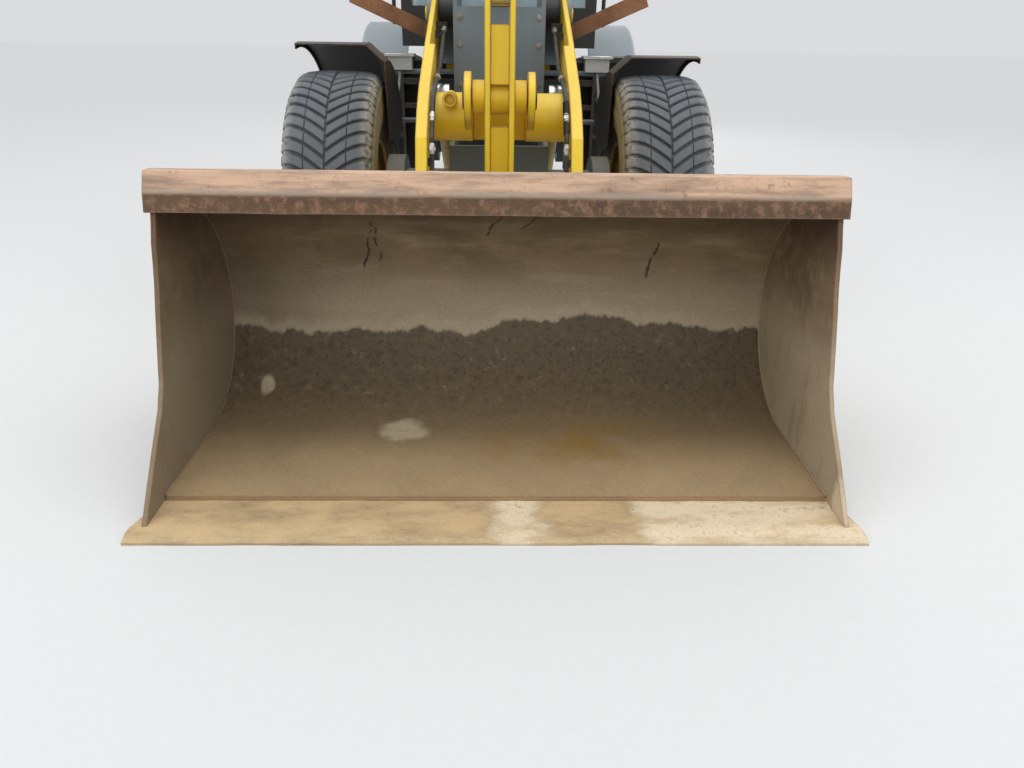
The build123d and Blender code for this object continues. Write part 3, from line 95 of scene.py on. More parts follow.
class PaintColours(bpy.types.PropertyGroup):
    """Colours of the clean paints and bare materials."""

    yellow: colour("Yellow", "Paint of arms, lever and hood", (0.86, 0.60, 0.030))
    grey: colour("Frame grey", "Blue-grey paint of both frames", (0.155, 0.195, 0.225))
    dark: colour("Dark paint", "Fenders, steps and guards", (0.016, 0.015, 0.013))
    rubber: colour("Rubber", "Tyres and hoses", (0.070, 0.078, 0.086))
    glass: colour("Glass", "Cab windows", (0.42, 0.56, 0.60))


class DirtColours(bpy.types.PropertyGroup):
    """Colours of mud, dust and rust."""

    dry_mud: colour("Dry mud", "Pale mud on edges and in grooves", (0.50, 0.41, 0.28))
    damp_mud: colour("Damp mud", "Dark brown mud in the bucket", (0.140, 0.103, 0.058))
    dust: colour("Dust", "Thin dust on level faces", (0.30, 0.26, 0.20))
    rust: colour("Rust", "Light rust", (0.30, 0.105, 0.035))
    dark_rust: colour("Dark rust", "Old rust in hollows", (0.085, 0.032, 0.018))
    worn_wall: colour("Worn wall", "Scoured steel of the bucket's back", (0.225, 0.160, 0.085))


class TyreSizes(bpy.types.PropertyGroup):
    """Sizes of the tyres' tread."""

    rows: IntProperty(name="Lug rows", description="Rows of lugs round one tyre", min=12, default=58)
    depth: length("Groove depth", "How deep the grooves are", 0.020)
    groove: length("Groove width", "Width of the cross grooves", 0.024)


class StageSizes(bpy.types.PropertyGroup):
    """The floor, the light and the camera's place."""

    floor: colour("Floor", "Plain pale floor", (0.68, 0.68, 0.67))
    sky: FloatProperty(name="Sky", description="Strength of the soft sky", min=0, default=1.0)
    key: FloatProperty(
        name="Key lamp", description="Power of the large soft lamp", unit="POWER", min=0, default=200
    )
    height: length("Camera height", "Height of the camera above the floor", 1.757)
    distance: length("Camera distance", "From the cutting edge to the camera", 2.341)


def paint():
    return bpy.context.scene.loader_paint


def dirt():
    return bpy.context.scene.loader_dirt


# Shader expressions

class Value:
    """A node socket that can be used in sums, so that a mask reads as a formula."""

    def __init__(self, finish, socket):
        self.finish = finish
        self.socket = socket

    def math(self, operation, *others, clamp=False):
        values = [self, *others]
        return self.finish.node("ShaderNodeMath", {"operation": operation, "use_clamp": clamp}, values)

    def __add__(self, other):
        return self.math("ADD", other)

    def __radd__(self, other):
        return self.math("ADD", other)

    def __sub__(self, other):
        return self.math("SUBTRACT", other)

    def __rsub__(self, other):
        return self.finish.node("ShaderNodeMath", {"operation": "SUBTRACT"}, [other, self])

    def __mul__(self, other):
        return self.math("MULTIPLY", other)

    def __truediv__(self, other):
        return self.math("DIVIDE", other)

    def __pow__(self, other):
        return self.math("POWER", other)

    def __abs__(self):
        return self.math("ABSOLUTE")

    def most(self, other):
        return self.math("MAXIMUM", other)

    def clamped(self):
        return self.math("ADD", 0, clamp=True)

    def ramp(self, start, end):
        """Smooth rise from 0 at start to 1 at end."""
        return self.finish.node(
            "ShaderNodeMapRange", {"interpolation_type": "SMOOTHSTEP"}, [self, start, end, 0, 1]
        )

    def band(self, start, top, end):
        """A hump: 0 at start, 1 at top and 0 again at end."""
        return self.ramp(start, top) * (1 - self.ramp(top, end))


class Finish:
    """One material with its nodes."""

    def __init__(self, name):
        self.material = bpy.data.materials.new(name)
        self.material.use_nodes = True
        self.tree = self.material.node_tree
        self.shader = self.tree.nodes["Principled BSDF"]
        self._coords = None

    def node(self, kind, settings=None, values=(), out=0):
        """Adds a node, sets it up and returns one of its outputs."""
        made = self.tree.nodes.new(kind)
        for name, setting in (settings or {}).items():
            setattr(made, name, setting)
        items = values.items() if isinstance(values, dict) else enumerate(values)
        for key, value in items:
            if value is None:
                continue
            if isinstance(value, Value):
                self.tree.links.new(value.socket, made.inputs[key])
            else:
                made.inputs[key].default_value = value
        return Value(self, made.outputs[out])

    def place(self):
        """Where a point is on the object, in metres."""
        if self._coords is None:
            self._coords = self.node("ShaderNodeTexCoord", out="Object")
        return self._coords

    def axis(self, name, vector=None):
        vector = vector or self.place()
        return self.node("ShaderNodeSeparateXYZ", values=[vector], out="XYZ".index(name))

    def stretched(self, x, y, z):
        """Object coordinates scaled along each axis."""
        return self.node("ShaderNodeVectorMath", {"operation": "MULTIPLY"}, [self.place(), (x, y, z)])

    def cloud(self, scale, detail=5, rough=0.55, vector=None, warp=0.0):
        """Soft noise from 0 to 1."""
        values = {"Vector": vector or self.place(), "Scale": scale, "Detail": detail}
        values.update({"Roughness": rough, "Distortion": warp})
        return self.node("ShaderNodeTexNoise", values=values, out="Fac")

    def cells(self, scale, feature="F1"):
        """Distance from the middle of the nearest grain."""
        values = {"Vector": self.place(), "Scale": scale}
        return self.node("ShaderNodeTexVoronoi", {"feature": feature}, values, out="Distance")

    def up(self):
        """1 where a face looks up, 0 where it is upright and -1 where it looks down."""
        normal = self.node("ShaderNodeTexCoord", out="Normal")
        return self.axis("Z", normal)

    def edges(self, radius=0.012):
        """1 near outer edges and inner corners, 0 on flats."""
        soft = self.node("ShaderNodeBevel", {"samples": 4}, [radius])
        flat = self.node("ShaderNodeNewGeometry", out="Normal")
        dot = self.node("ShaderNodeVectorMath", {"operation": "DOT_PRODUCT"}, [soft, flat], out="Value")
        return ((1 - dot) * 6).clamped()

    def mix(self, amount, first, second):
        """A colour between two colours."""
        values = {0: amount, 6: self._tone(first), 7: self._tone(second)}
        return self.node("ShaderNodeMix", {"data_type": "RGBA"}, values, out=2)

    def _tone(self, tone):
        if isinstance(tone, Value):
            return tone
        return (*tone[:3], 1)

    def shade(self, tone, amount):
        """A colour made darker or lighter by a value near 1."""
        grey = self.node("ShaderNodeCombineXYZ", values=[amount, amount, amount])
        values = {0: 1.0, 6: self._tone(tone), 7: grey}
        return self.node("ShaderNodeMix", {"data_type": "RGBA", "blend_type": "MULTIPLY"}, values, out=2)

    def surface(self, base, rough, bump=None, depth=0.002, metal=None, round_edges=0.0, **fixed):
        """Feeds the shader. A bump is a height from 0 to 1, and depth says how deep it is."""
        self._feed("Base Color", self._tone(base))
        self._feed("Roughness", rough)
        if metal is not None:
            self._feed("Metallic", metal)
        for name, value in fixed.items():
            self.shader.inputs[name.replace("_", " ")].default_value = value
        normal = None
        if round_edges:
            normal = self.node("ShaderNodeBevel", {"samples": 4}, [round_edges])
        if bump is not None:
            values = {"Strength": 1.0, "Distance": depth, "Height": bump, "Normal": normal}
            normal = self.node("ShaderNodeBump", values=values)
        if normal is not None:
            self._feed("Normal", normal)
        return self.material

    def _feed(self, name, value):
        if isinstance(value, Value):
            self.tree.links.new(value.socket, self.shader.inputs[name])
        else:
            self.shader.inputs[name].default_value = value


def mixed(first, second, share):
    """A plain colour between two plain colours."""
    return tuple(a + (b - a) * share for a, b in zip(first, second))


def scaled(tone, factor):
    return tuple(min(1, c * factor) for c in tone)


# Finishes

# The cab is yellow above this height and dark below it
ROOF_EDGE = 3.128


def worn_paint(name, tone, chips, dust, rust, gloss, grime_height, above=None):
    """Paint with chips and rust at its edges, thin dust and grime low down."""
    f = Finish(name)
    edge = f.edges(0.014)
    speck = f.cloud(38, 8, 0.7)
    broad = f.cloud(3.2, 4)
    chip = (edge * 0.55 + speck * 0.75 + broad * 0.3).ramp(1.12 - chips * 0.34, 1.20 - chips * 0.34)
    pit = (f.cloud(95, 3) * 0.6 + broad * 0.5).ramp(0.80 - chips * 0.06, 0.84 - chips * 0.06)
    bare = chip.most(pit)
    level = f.up().ramp(0.25, 0.95)
    grime = (1 - f.axis("Z").ramp(0.3, grime_height)) * 0.3
    dusty = (level * 0.75 + f.cloud(7, 6, 0.62) * 0.55 - 0.35 + grime).clamped() * dust
    streak = f.cloud(1, 4, 0.6, vector=f.stretched(26, 26, 2.2))
    clean = tone
    if above:
        level_z, upper = above
        clean = f.mix(f.axis("Z").ramp(level_z - 0.002, level_z + 0.002), tone, upper)
    faded = f.shade(clean, 0.80 + streak * 0.2 + broad * 0.18)
    grimy = f.mix(dusty, faded, dirt().dust)
    rusty = f.mix(f.cloud(60, 5), dirt().rust, dirt().dark_rust)
    worn = (edge * 0.5 + speck * 0.75 + broad * 0.3).ramp(0.98 - chips * 0.34, 1.2 - chips * 0.34)
    around = worn * rust * 0.6
    stained = f.mix(around, grimy, rusty)
    base = f.mix(bare, stained, f.mix(rust, mixed(tone, (0.2, 0.2, 0.2), 0.8), rusty))
    height = (1 - bare) * 0.5 + f.cloud(240, 2) * 0.12 + dusty * 0.15
    return f.surface(base, (gloss + dusty * 0.4 + bare * 0.4).clamped(), height, 0.0012, round_edges=0.004)


# Pale blotches on the floor: (x, distance behind the edge, half width, half depth)
BLOTCHES = (
    (-0.44, 0.80, 0.115, 0.10), (-0.462, 0.115, 0.04, 0.05),
    (-1.13, 1.10, 0.035, 0.05), (0.05, 0.10, 0.12, 0.06),
)
# Dark scratches on the back wall: (x at the foot, lean, lowest z, highest z)
SCRATCHES = (
    (-0.66, 0.22, 0.62, 0.98), (-0.56, -0.10, 0.66, 0.94), (-0.06, 0.55, 0.84, 1.02),
    (0.10, 0.80, 0.88, 1.02), (0.72, 0.16, 0.60, 0.94),
)


def bucket_wall():
    """The bucket: scoured brown steel above, damp mud below a ragged line, pale mud at the front."""
    f = Finish("bucket_wall")
    d = dirt()
    x, y, z = (f.axis(a) for a in "XYZ")
    inside_y = y + HALF_LENGTH
    side = abs(x)
    grain = f.cloud(90, 6, 0.7)
    patch = f.cloud(2.6, 5, 0.6, warp=0.6)
    fine = f.cloud(14, 7, 0.65)
    scour = f.cloud(1, 5, 0.6, vector=f.stretched(3, 14, 14))
    wall = f.mix(patch.ramp(0.35, 0.66), d.worn_wall, scaled(d.worn_wall, 0.66))
    wall = f.mix(scour.ramp(0.45, 0.75) * 0.4, wall, scaled(d.dry_mud, 0.85))
    wall = f.mix(z.ramp(0.78, 0.44) * (0.42 + patch * 0.5), wall, scaled(d.dry_mud, 0.98))
    wall = f.mix(x.ramp(-0.70, -1.25) * 0.55, wall, scaled(d.worn_wall, 0.42))
    # Painted shadow under the spill guard, mixed with real dark rust: the wall darkens towards its top
    lip_shadow_and_rust = scaled(mixed(d.dark_rust, d.worn_wall, 0.2), 0.7)
    wall = f.mix((z.ramp(0.80, 1.06) * (0.62 + fine * 0.6)).clamped(), wall, lip_shadow_and_rust)
    # Rust comes through the side plates in upright streaks
    runs = f.cloud(1, 6, 0.62, vector=f.stretched(9, 9, 2.4))
    plates = side.ramp(1.318, 1.321)
    wall = f.mix(plates * runs.ramp(0.50, 0.72) * 0.38, wall, mixed(d.rust, d.damp_mud, 0.72))
    # The damp mud's upper line stands at about 0.4 m and wanders
    wander = f.cloud(1.0, 6, 0.62, vector=f.stretched(3.0, 0.6, 0.6)) - 0.5
    line = 0.365 + x.band(-0.25, 0.42, 1.0) * 0.055 + wander * 0.25
    ragged = z - line + (f.cloud(22, 5) - 0.5) * 0.035
    inside = inside_y.ramp(0.02, 0.06) * (1 - side.ramp(1.313, 1.317))
    wet = 1 - ragged.ramp(-0.008, 0.010)
    wall = f.mix(ragged.band(0.0, 0.02, 0.09) * (1 - plates) * 0.6, wall, d.dry_mud)
    mud = f.mix(fine * 0.9, scaled(d.damp_mud, 0.72), mixed(d.damp_mud, d.worn_wall, 0.35))
    mud = f.mix(f.cloud(34, 7, 0.75).ramp(0.48, 0.62) * 0.7, mud, scaled(d.damp_mud, 0.45))
    mud = f.mix(f.cloud(20, 7, 0.75).ramp(0.55, 0.70) * 0.55, mud, mixed(d.damp_mud, d.dry_mud, 0.5))
    nearer = inside_y.ramp(1.22, 0.42)
    mud = f.mix((nearer * (0.50 + patch * 0.7)).clamped(), mud, scaled(d.worn_wall, 1.75))
    ochre = x.band(-0.35, 0.35, 1.10) * inside_y.band(0.36, 0.70, 1.05) * f.cloud(5, 6, 0.7).ramp(0.36, 0.62)
    mud = f.mix(ochre * 0.85, mud, (0.27, 0.15, 0.028))
    base = f.mix(wet * inside, wall, mud)
    # Pale dried mud lies at the front, most of it right of the middle
    spread = (x.band(-0.14, 0.07, 0.32) + x.ramp(0.42, 0.70)) * f.cloud(7, 6, 0.7).ramp(0.34, 0.56)
    reach = f.cloud(1, 6, 0.7, vector=f.stretched(4.2, 1, 1)) * 0.24
    crust = spread * (inside_y - reach).ramp(0.09, 0.03) * z.ramp(0.30, 0.12)
    base = f.mix(crust.clamped(), base, scaled(d.dry_mud, 1.25))
    for cx, cy, wide, deep in BLOTCHES:
        ragged_by = (f.cloud(16, 5) - 0.5) * 1.6
        far = (((x - cx) / wide) ** 2 + ((inside_y - cy) / deep) ** 2 + ragged_by).ramp(1.30, 0.35)
        base = f.mix(far * wet * (0.45 + fine * 0.7), base, scaled(d.dry_mud, 1.10))
    for cx, lean, low, high in SCRATCHES:
        run = abs(x - (z - low) * lean - cx + (f.cloud(7, 4) - 0.5) * 0.10).ramp(0.008, 0.003)
        mark = run * z.band(low, (low + high) / 2, high).ramp(0.02, 0.2) * f.cloud(18, 3).ramp(0.40, 0.5)
        base = f.mix(mark * (1 - wet) * 0.85, base, scaled(d.dark_rust, 0.5))
    edge = f.edges(0.02)
    base = f.mix(edge * (0.35 + fine * 0.5), base, mixed(d.rust, d.worn_wall, 0.4))
    base = f.shade(base, 0.64 + grain * 0.74)
    rough = (0.62 + fine * 0.3 - wet * 0.12).clamped()
    height = grain * 0.35 + fine * 0.4 + wet * inside * 0.5 + f.cloud(300, 2) * 0.15
    return f.surface(base, rough, height, 0.004, round_edges=0.004)


def rusted_steel(name, tone):
    """Old bare steel with light and dark rust."""
    f = Finish(name)
    d = dirt()
    broad = f.cloud(5, 6, 0.65)
    fine = f.cloud(70, 6, 0.7)
    base = f.mix(broad.ramp(0.35, 0.7), tone, mixed(tone, d.dark_rust, 0.5))
    base = f.mix(fine.ramp(0.5, 0.75) * 0.6, base, d.dark_rust)
    base = f.mix(f.up().ramp(0.5, 1) * 0.35, base, d.dust)
    height = fine * 0.7 + f.cells(120) * 0.5
    return f.surface(base, 0.75 + fine * 0.2, height, 0.0022, round_edges=0.003)


def spill_rust():
    """The folded guard: pale scoured rust on its upper leaf, dark rust on the lower."""
    f = Finish("spill_rust")
    d = dirt()
    z = f.axis("Z")
    streaks = f.cloud(1, 6, 0.65, vector=f.stretched(2.6, 20, 20))
    fine = f.cloud(60, 7, 0.72)
    flakes = f.cells(26, feature="SMOOTH_F1")
    low = (z + (streaks - 0.5) * 0.03).ramp(1.172, 1.148)
    pale_rust = mixed(d.dust, (0.66, 0.42, 0.28), 0.85)
    upper = f.mix(streaks.ramp(0.38, 0.66), pale_rust, mixed(d.rust, d.dust, 0.62))
    brown = scaled(mixed(d.rust, d.damp_mud, 0.7), 0.62)
    lower = f.mix(streaks.ramp(0.4, 0.7), brown, scaled(mixed(d.dark_rust, d.damp_mud, 0.4), 0.75))
    base = f.mix(low, upper, lower)
    flaked = (fine * 0.8 + flakes * 0.4).ramp(0.62, 0.85) * 0.7
    base = f.mix(flaked, base, mixed(d.dark_rust, d.damp_mud, 0.3))
    base = f.mix(f.edges(0.012) * 0.4, base, mixed(d.dust, d.worn_wall, 0.5))
    base = f.mix(low * f.cloud(22, 7, 0.75).ramp(0.46, 0.64) * 0.65, base, mixed(d.rust, d.dust, 0.35))
    fold = z.band(1.148, 1.164, 1.184)
    base = f.mix(fold * streaks.ramp(0.35, 0.6) * 0.5, base, mixed(d.dust, (0.45, 0.40, 0.34), 0.5))
    height = fine * 0.8 + flakes * 0.5 + streaks * 0.4
    return f.surface(base, 0.72 + fine * 0.22, height, 0.003, round_edges=0.003)


def edge_mud():
    """The worn cutting edge in the floor's brown, with two beds of pale dry mud."""
    f = Finish("edge_mud")
    d = dirt()
    y = f.axis("Y") + HALF_LENGTH
    x = f.axis("X")
    broad = f.cloud(1, 6, 0.66, vector=f.stretched(3.4, 9, 9))
    fine = f.cloud(46, 7, 0.7)
    plain = f.mix(broad.ramp(0.35, 0.7), scaled(d.worn_wall, 2.5), scaled(d.worn_wall, 1.5))
    beds = (x.band(-0.16, 0.06, 0.34) + x.ramp(0.40, 0.62)).clamped() * 0.9
    cover = (broad * 0.9 + beds * 0.34 + fine * 0.2).ramp(0.70, 0.92)
    base = f.mix(cover, plain, scaled(d.dry_mud, 1.45))
    base = f.mix(y.band(0.0, 0.012, 0.04) * fine.ramp(0.35, 0.65) * 0.45, base, scaled(d.dry_mud, 1.1))
    base = f.mix((fine * broad).ramp(0.30, 0.42) * 0.5, base, d.damp_mud)
    base = f.shade(base, 0.8 + f.cloud(150, 4) * 0.4)
    height = fine * 0.5 + cover * 0.5 + f.cloud(220, 3) * 0.2
    return f.surface(base, 0.85, height, 0.004, round_edges=0.004)


def tyre_rubber(centre):
    """Worn grey rubber with pale dry mud in the grooves and on the side wall."""
    f = Finish("tyre_rubber_front" if centre.y < 0 else "tyre_rubber_rear")
    d = dirt()
    y = f.axis("Y") - centre.y
    z = f.axis("Z") - centre.z
    x = abs(f.axis("X")) - centre.x
    radius = (y * y + z * z) ** 0.5
    fine = f.cloud(65, 7, 0.7)
    broad = f.cloud(6, 5, 0.6)
    depth = bpy.context.scene.loader_tyre.depth
    worn = f.mix(broad, paint().rubber, scaled(paint().rubber, 2.1))
    worn = f.mix(fine.ramp(0.5, 0.72) * 0.5, worn, (0.17, 0.175, 0.17))
    groove = 1 - radius.ramp(TYRE_RADIUS - depth * 1.3, TYRE_RADIUS - depth * 0.45)
    tread = radius.ramp(TYRE_RADIUS - 0.075, TYRE_RADIUS - 0.05)
    muddy = groove * tread * (0.20 + fine * 0.6) * (0.3 + broad * 0.7)
    base = f.mix(muddy * 0.5, worn, scaled(d.dry_mud, 0.7))
    # Painted shade: the grooves are darkened below the rubber's own colour
    base = f.mix(groove * tread * 0.55, base, scaled(paint().rubber, 0.35))
    shoulder = abs(x).ramp(0.17, 0.25) * tread * (f.cloud(30, 6, 0.7) + broad * 0.4).ramp(0.48, 0.78)
    base = f.mix(shoulder * 0.75, base, (0.42, 0.41, 0.38))
    wall = 1 - radius.ramp(TYRE_RADIUS - 0.10, TYRE_RADIUS - 0.07)
    wall_mud = wall * (0.30 + broad * 0.5 + fine * 0.2)
    base = f.mix(wall_mud.clamped(), base, scaled(d.dry_mud, 0.72))
    ring = radius.band(TYRE_RADIUS - 0.13, TYRE_RADIUS - 0.10, TYRE_RADIUS - 0.075) * abs(x).ramp(0.2, 0.25)
    base = f.mix(ring * 0.55, base, d.dry_mud)
    height = fine * 0.5 + f.cells(140) * 0.3 + muddy * 0.3
    return f.surface(base, 0.80 + fine * 0.15, height, 0.0018)


def bare_steel(name, tone=(0.32, 0.30, 0.27), metal=0.85, rough=0.38):
    """Worn pin and rod ends."""
    f = Finish(name)
    fine = f.cloud(80, 6, 0.7)
    broad = f.cloud(9, 4)
    stain = (fine * 0.7 + broad * 0.5).ramp(0.55, 0.8)
    base = f.mix(stain, tone, mixed(dirt().rust, dirt().dark_rust, 0.5))
    shine = metal - stain * 0.6
    return f.surface(base, (rough + stain * 0.4).clamped(), fine, 0.0008, metal=shine, round_edges=0.002)


def chrome():
    """The cylinders' plated rods."""
    f = Finish("plated_rod")
    fine = f.cloud(160, 4)
    film = f.cloud(10, 4).ramp(0.4, 0.8) * 0.35
    base = f.mix(film, (0.62, 0.63, 0.64), dirt().dust)
    return f.surface(base, 0.14 + film * 0.6 + fine * 0.05, metal=1.0 - film)


def soft_rubber(name, tone=None, gloss=0.55):
    """Hoses, seals and grips."""
    f = Finish(name)
    fine = f.cloud(130, 5, 0.65)
    dust = f.up().ramp(0.0, 0.9) * 0.10 + f.cloud(12, 5).ramp(0.45, 0.8) * 0.14
    base = f.mix(dust, tone or scaled(paint().rubber, 0.22), dirt().dust)
    return f.surface(base, gloss + dust * 0.3, fine, 0.0006)


def plain_glass():
    """Tinted cab glass with a patchy film of dust."""
    f = Finish("cab_window")
    film = f.cloud(5, 5).ramp(0.4, 0.9) * 0.25
    base = f.mix(film, paint().glass, dirt().dust)
    return f.surface(base, 0.04 + film * 0.5, Alpha=0.42, IOR=1.45)


def dusty_plastic(name, tone):
    """Moulded plastic with a fine grain."""
    f = Finish(name)
    grain = f.cells(420)
    dust = f.up().ramp(0.2, 1.0) * (0.2 + f.cloud(9, 5) * 0.4)
    base = f.mix(dust, f.shade(tone, 0.85 + f.cloud(4) * 0.3), dirt().dust)
    return f.surface(base, 0.5 + dust * 0.3, grain, 0.0005, round_edges=0.003)


def lens(name, tone):
    """A lamp's ribbed lens."""
    f = Finish(name)
    ribs = f.cloud(1, 1, 0.5, vector=f.stretched(110, 8, 8))
    base = f.mix(f.cloud(30, 4) * 0.25, tone, dirt().dust)
    return f.surface(base, 0.12 + f.cloud(12) * 0.1, ribs, 0.001, Coat_Weight=0.6)


def seat_cloth():
    """Woven seat cover."""
    f = Finish("seat_cloth")
    weave = f.cells(330) * 0.6 + f.cloud(420, 2) * 0.4
    base = f.mix(f.cloud(9, 6), (0.028, 0.028, 0.03), (0.06, 0.058, 0.055))
    return f.surface(base, 0.92, weave, 0.0012, Sheen_Weight=0.25)


def scuffed_aluminium():
    """Pressed step treads."""
    f = Finish("scuffed_aluminium")
    fine = f.cloud(75, 6, 0.7)
    dirt_film = (f.cloud(11, 6, 0.65).ramp(0.42, 0.75)) * 0.55
    base = f.mix(dirt_film, (0.66, 0.67, 0.66), dirt().dust)
    return f.surface(base, 0.35 + dirt_film * 0.5, fine, 0.0008, metal=0.75 - dirt_film, round_edges=0.002)


FINISHES = {}


def finishes():
    """Every material, made once."""
    if FINISHES:
        return FINISHES
    p = paint()
    d = dirt()
    # (key, name, colour, chips, dust, rust, gloss, height of the grime)
    paints = [
        ("yellow", "yellow_paint", p.yellow, 0.68, 0.25, 0.9, 0.38, 0.8),
        ("hood_yellow", "hood_yellow", p.yellow, 0.25, 0.55, 0.6, 0.38, 1.0),
        ("rim_yellow", "rim_yellow", scaled(p.yellow, 0.72), 0.5, 0.8, 0.9, 0.38, 1.3),
        ("grey", "grey_paint", p.grey, 0.35, 0.75, 0.5, 0.5, 1.3),
        ("dark", "dark_paint", p.dark, 0.30, 0.22, 0.7, 0.55, 1.2),
        ("pale_grey", "pale_grey_paint", scaled(p.grey, 1.9), 0.3, 0.5, 0.5, 0.45, 1.0),
    ]
    for key, *settings in paints:
        FINISHES[key] = worn_paint(*settings)
    FINISHES.update(
        cab=worn_paint("cab_paint", p.dark, 0.22, 0.2, 0.4, 0.4, 1.0, above=(ROOF_EDGE, p.yellow)),
        wall=bucket_wall(),
        lip=spill_rust(),
        edge=edge_mud(),
        rusty=rusted_steel("rusty_bar", mixed(d.rust, d.dust, 0.25)),
        steel=bare_steel("worn_pin"),
        zinc=bare_steel("hose_fitting", (0.55, 0.55, 0.54), 0.9, 0.3),
        plated=chrome(),
        hose=soft_rubber("hose_rubber"),
        seal=soft_rubber("seal_rubber", (0.012, 0.012, 0.012), 0.7),
        glass=plain_glass(),
        plastic=dusty_plastic("black_plastic", (0.022, 0.022, 0.023)),
        lens=lens("clear_lens", (0.72, 0.74, 0.74)),
        seat=seat_cloth(),
        tread=scuffed_aluminium(),
        front_rubber=tyre_rubber(FRONT_WHEEL),
        rear_rubber=tyre_rubber(REAR_WHEEL),
    )
    return FINISHES


# Mesh building

class Shape:
    """Collects the faces of one piece. Its finish number goes to each face that is made."""

    def __init__(self):
        self.mesh = bmesh.new()
        self.finish = 0

    def face(self, corners):
        made = self.mesh.faces.new(corners)
        made.material_index = self.finish
        return made

    def points(self, places):
        return [self.mesh.verts.new(p) for p in places]

    def loft(self, rings, capped=True):
        """Skin over rings of points that all have the same count."""
        made = [self.points(ring) for ring in rings]
        count = len(made[0])
        for first, second in zip(made, made[1:]):
            for i in range(count):
                j = (i + 1) % count
                self.face((first[i], first[j], second[j], second[i]))
        if capped:
            self.face(made[0][::-1])
            self.face(made[-1])
        return made

    def box(self, low, high):
        """A box between two corners."""
        plan = ((low[0], low[1]), (high[0], low[1]), (high[0], high[1]), (low[0], high[1]))
        return self.loft([[(x, y, z) for x, y in plan] for z in (low[2], high[2])])

    def plate(self, outline, x0, x1):
        """A plate from x0 to x1 with an outline in (y, z)."""
        return self.loft([[(x, y, z) for y, z in outline] for x in (x0, x1)])

    def turned(self, profile, centre, sides=64, axis="X", capped=True, hollow=False):
        """A turned body from points of (distance along the axis, radius). A hollow one closes on itself."""
        centre = Vector(centre)
        rings = []
        for along, radius in profile:
            ring = []
            for i in range(sides):
                a = 2 * math.pi * i / sides
                s, c = radius * math.sin(a), radius * math.cos(a)
                ring.append(centre + Vector((along, s, c) if axis == "X" else (c, along, s)))
            rings.append(ring)
        made = self.loft(rings, capped=capped and not hollow)
        if hollow:
            for i in range(sides):
                j = (i + 1) % sides
                self.face((made[-1][i], made[-1][j], made[0][j], made[0][i]))
        return made

    def rod(self, start, end, radius, sides=20, end_radius=None):
        return self.sweep([start, end], radius, sides, end_radius)

    def sweep(self, path, radius, sides=12, end_radius=None, wave=None):
        """A round bar along a path of points. A wave makes its radius vary along it."""
        path = [Vector(p) for p in path]
        rings = []
        side = None
        for i, place in enumerate(path):
            ahead = (path[min(i + 1, len(path) - 1)] - path[max(i - 1, 0)]).normalized()
            if side is None:
                side = ahead.orthogonal().normalized()
            side = (side - ahead * side.dot(ahead)).normalized()
            up = ahead.cross(side)
            r = radius
            if end_radius is not None:
                r += (end_radius - radius) * i / (len(path) - 1)
            if wave:
                r *= wave(i)
            turns = (2 * math.pi * k / sides for k in range(sides))
            rings.append([place + (side * math.cos(a) + up * math.sin(a)) * r for a in turns])
        return self.loft(rings)

    def bolt(self, place, direction, size=0.012):
        """A six-sided bolt head on a washer."""
        place, direction = Vector(place), Vector(direction).normalized()
        self.rod(place - direction * 0.001, place + direction * size * 0.25, size * 1.25, 16)
        self.rod(place + direction * size * 0.2, place + direction * size * 0.95, size, 6, size * 0.96)

    def piece(self, name, body, slot, finish_names, replaces=(), bevel=0.0, sharp=35):
        """Makes the collected faces one object that rides on a body."""
        bmesh.ops.recalc_face_normals(self.mesh, faces=self.mesh.faces)
        data = bpy.data.meshes.new(name)
        self.mesh.to_mesh(data)
        self.mesh.free()
        for finish in finish_names:
            data.materials.append(finishes()[finish])
        data.polygons.foreach_set("use_smooth", [True] * len(data.polygons))
        data.set_sharp_from_angle(angle=math.radians(sharp))
        made = bpy.data.objects.new(name, data)
        bpy.context.scene.collection.objects.link(made)
        if bevel:
            edge = made.modifiers.new("edges", "BEVEL")
            edge.width = bevel
            edge.segments = 2
            edge.limit_method = "ANGLE"
            edge.angle_limit = math.radians(40)
        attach(made, body)
        if replaces:
            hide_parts(*replaces)
        return made


def wobble(x, y, z, scale=1.0, seed=0.0):
    """Smooth noise between about -1 and 1 at a point."""
    return noise.noise(Vector((x * scale + seed, y * scale + seed * 0.7, z * scale - seed)))


def between(first, second, share):
    return first + (second - first) * share


# The bucket's outline behind its cutting edge, in metres
BACK_CENTRE = (0.813, 0.565)
BACK_RADIUS = 0.515
BACK_END = math.radians(58.3)
TOP_SHEET = 0.405
SHEET = 0.020
FLOOR_FRONT = 0.250
SIDE_FRONT = [
    (0.628, 1.085), (0.588, 0.980), (0.553, 0.840), (0.487, 0.650),
    (0.425, 0.453), (0.372, 0.366), (0.228, 0.211), (0.070, 0.030),
]


def back_line(radius, floor_steps=8, arc_steps=44, top_steps=9):
    """Floor, round back and top sheet as (y, z) points with their outward normals."""
    cy, cz = BACK_CENTRE
    line = []
    for i in range(floor_steps):
        line.append((between(FLOOR_FRONT, cy, i / floor_steps), cz - radius, 0.0, -1.0))
    for i in range(arc_steps + 1):
        a = between(-math.pi / 2, BACK_END, i / arc_steps)
        line.append((cy + radius * math.cos(a), cz + radius * math.sin(a), math.cos(a), math.sin(a)))
    a = BACK_END
    y, z = line[-1][:2]
    for i in range(1, top_steps + 1):
        run = TOP_SHEET * i / top_steps
        line.append((y - run * math.sin(a), z + run * math.cos(a), math.cos(a), math.sin(a)))
    return line


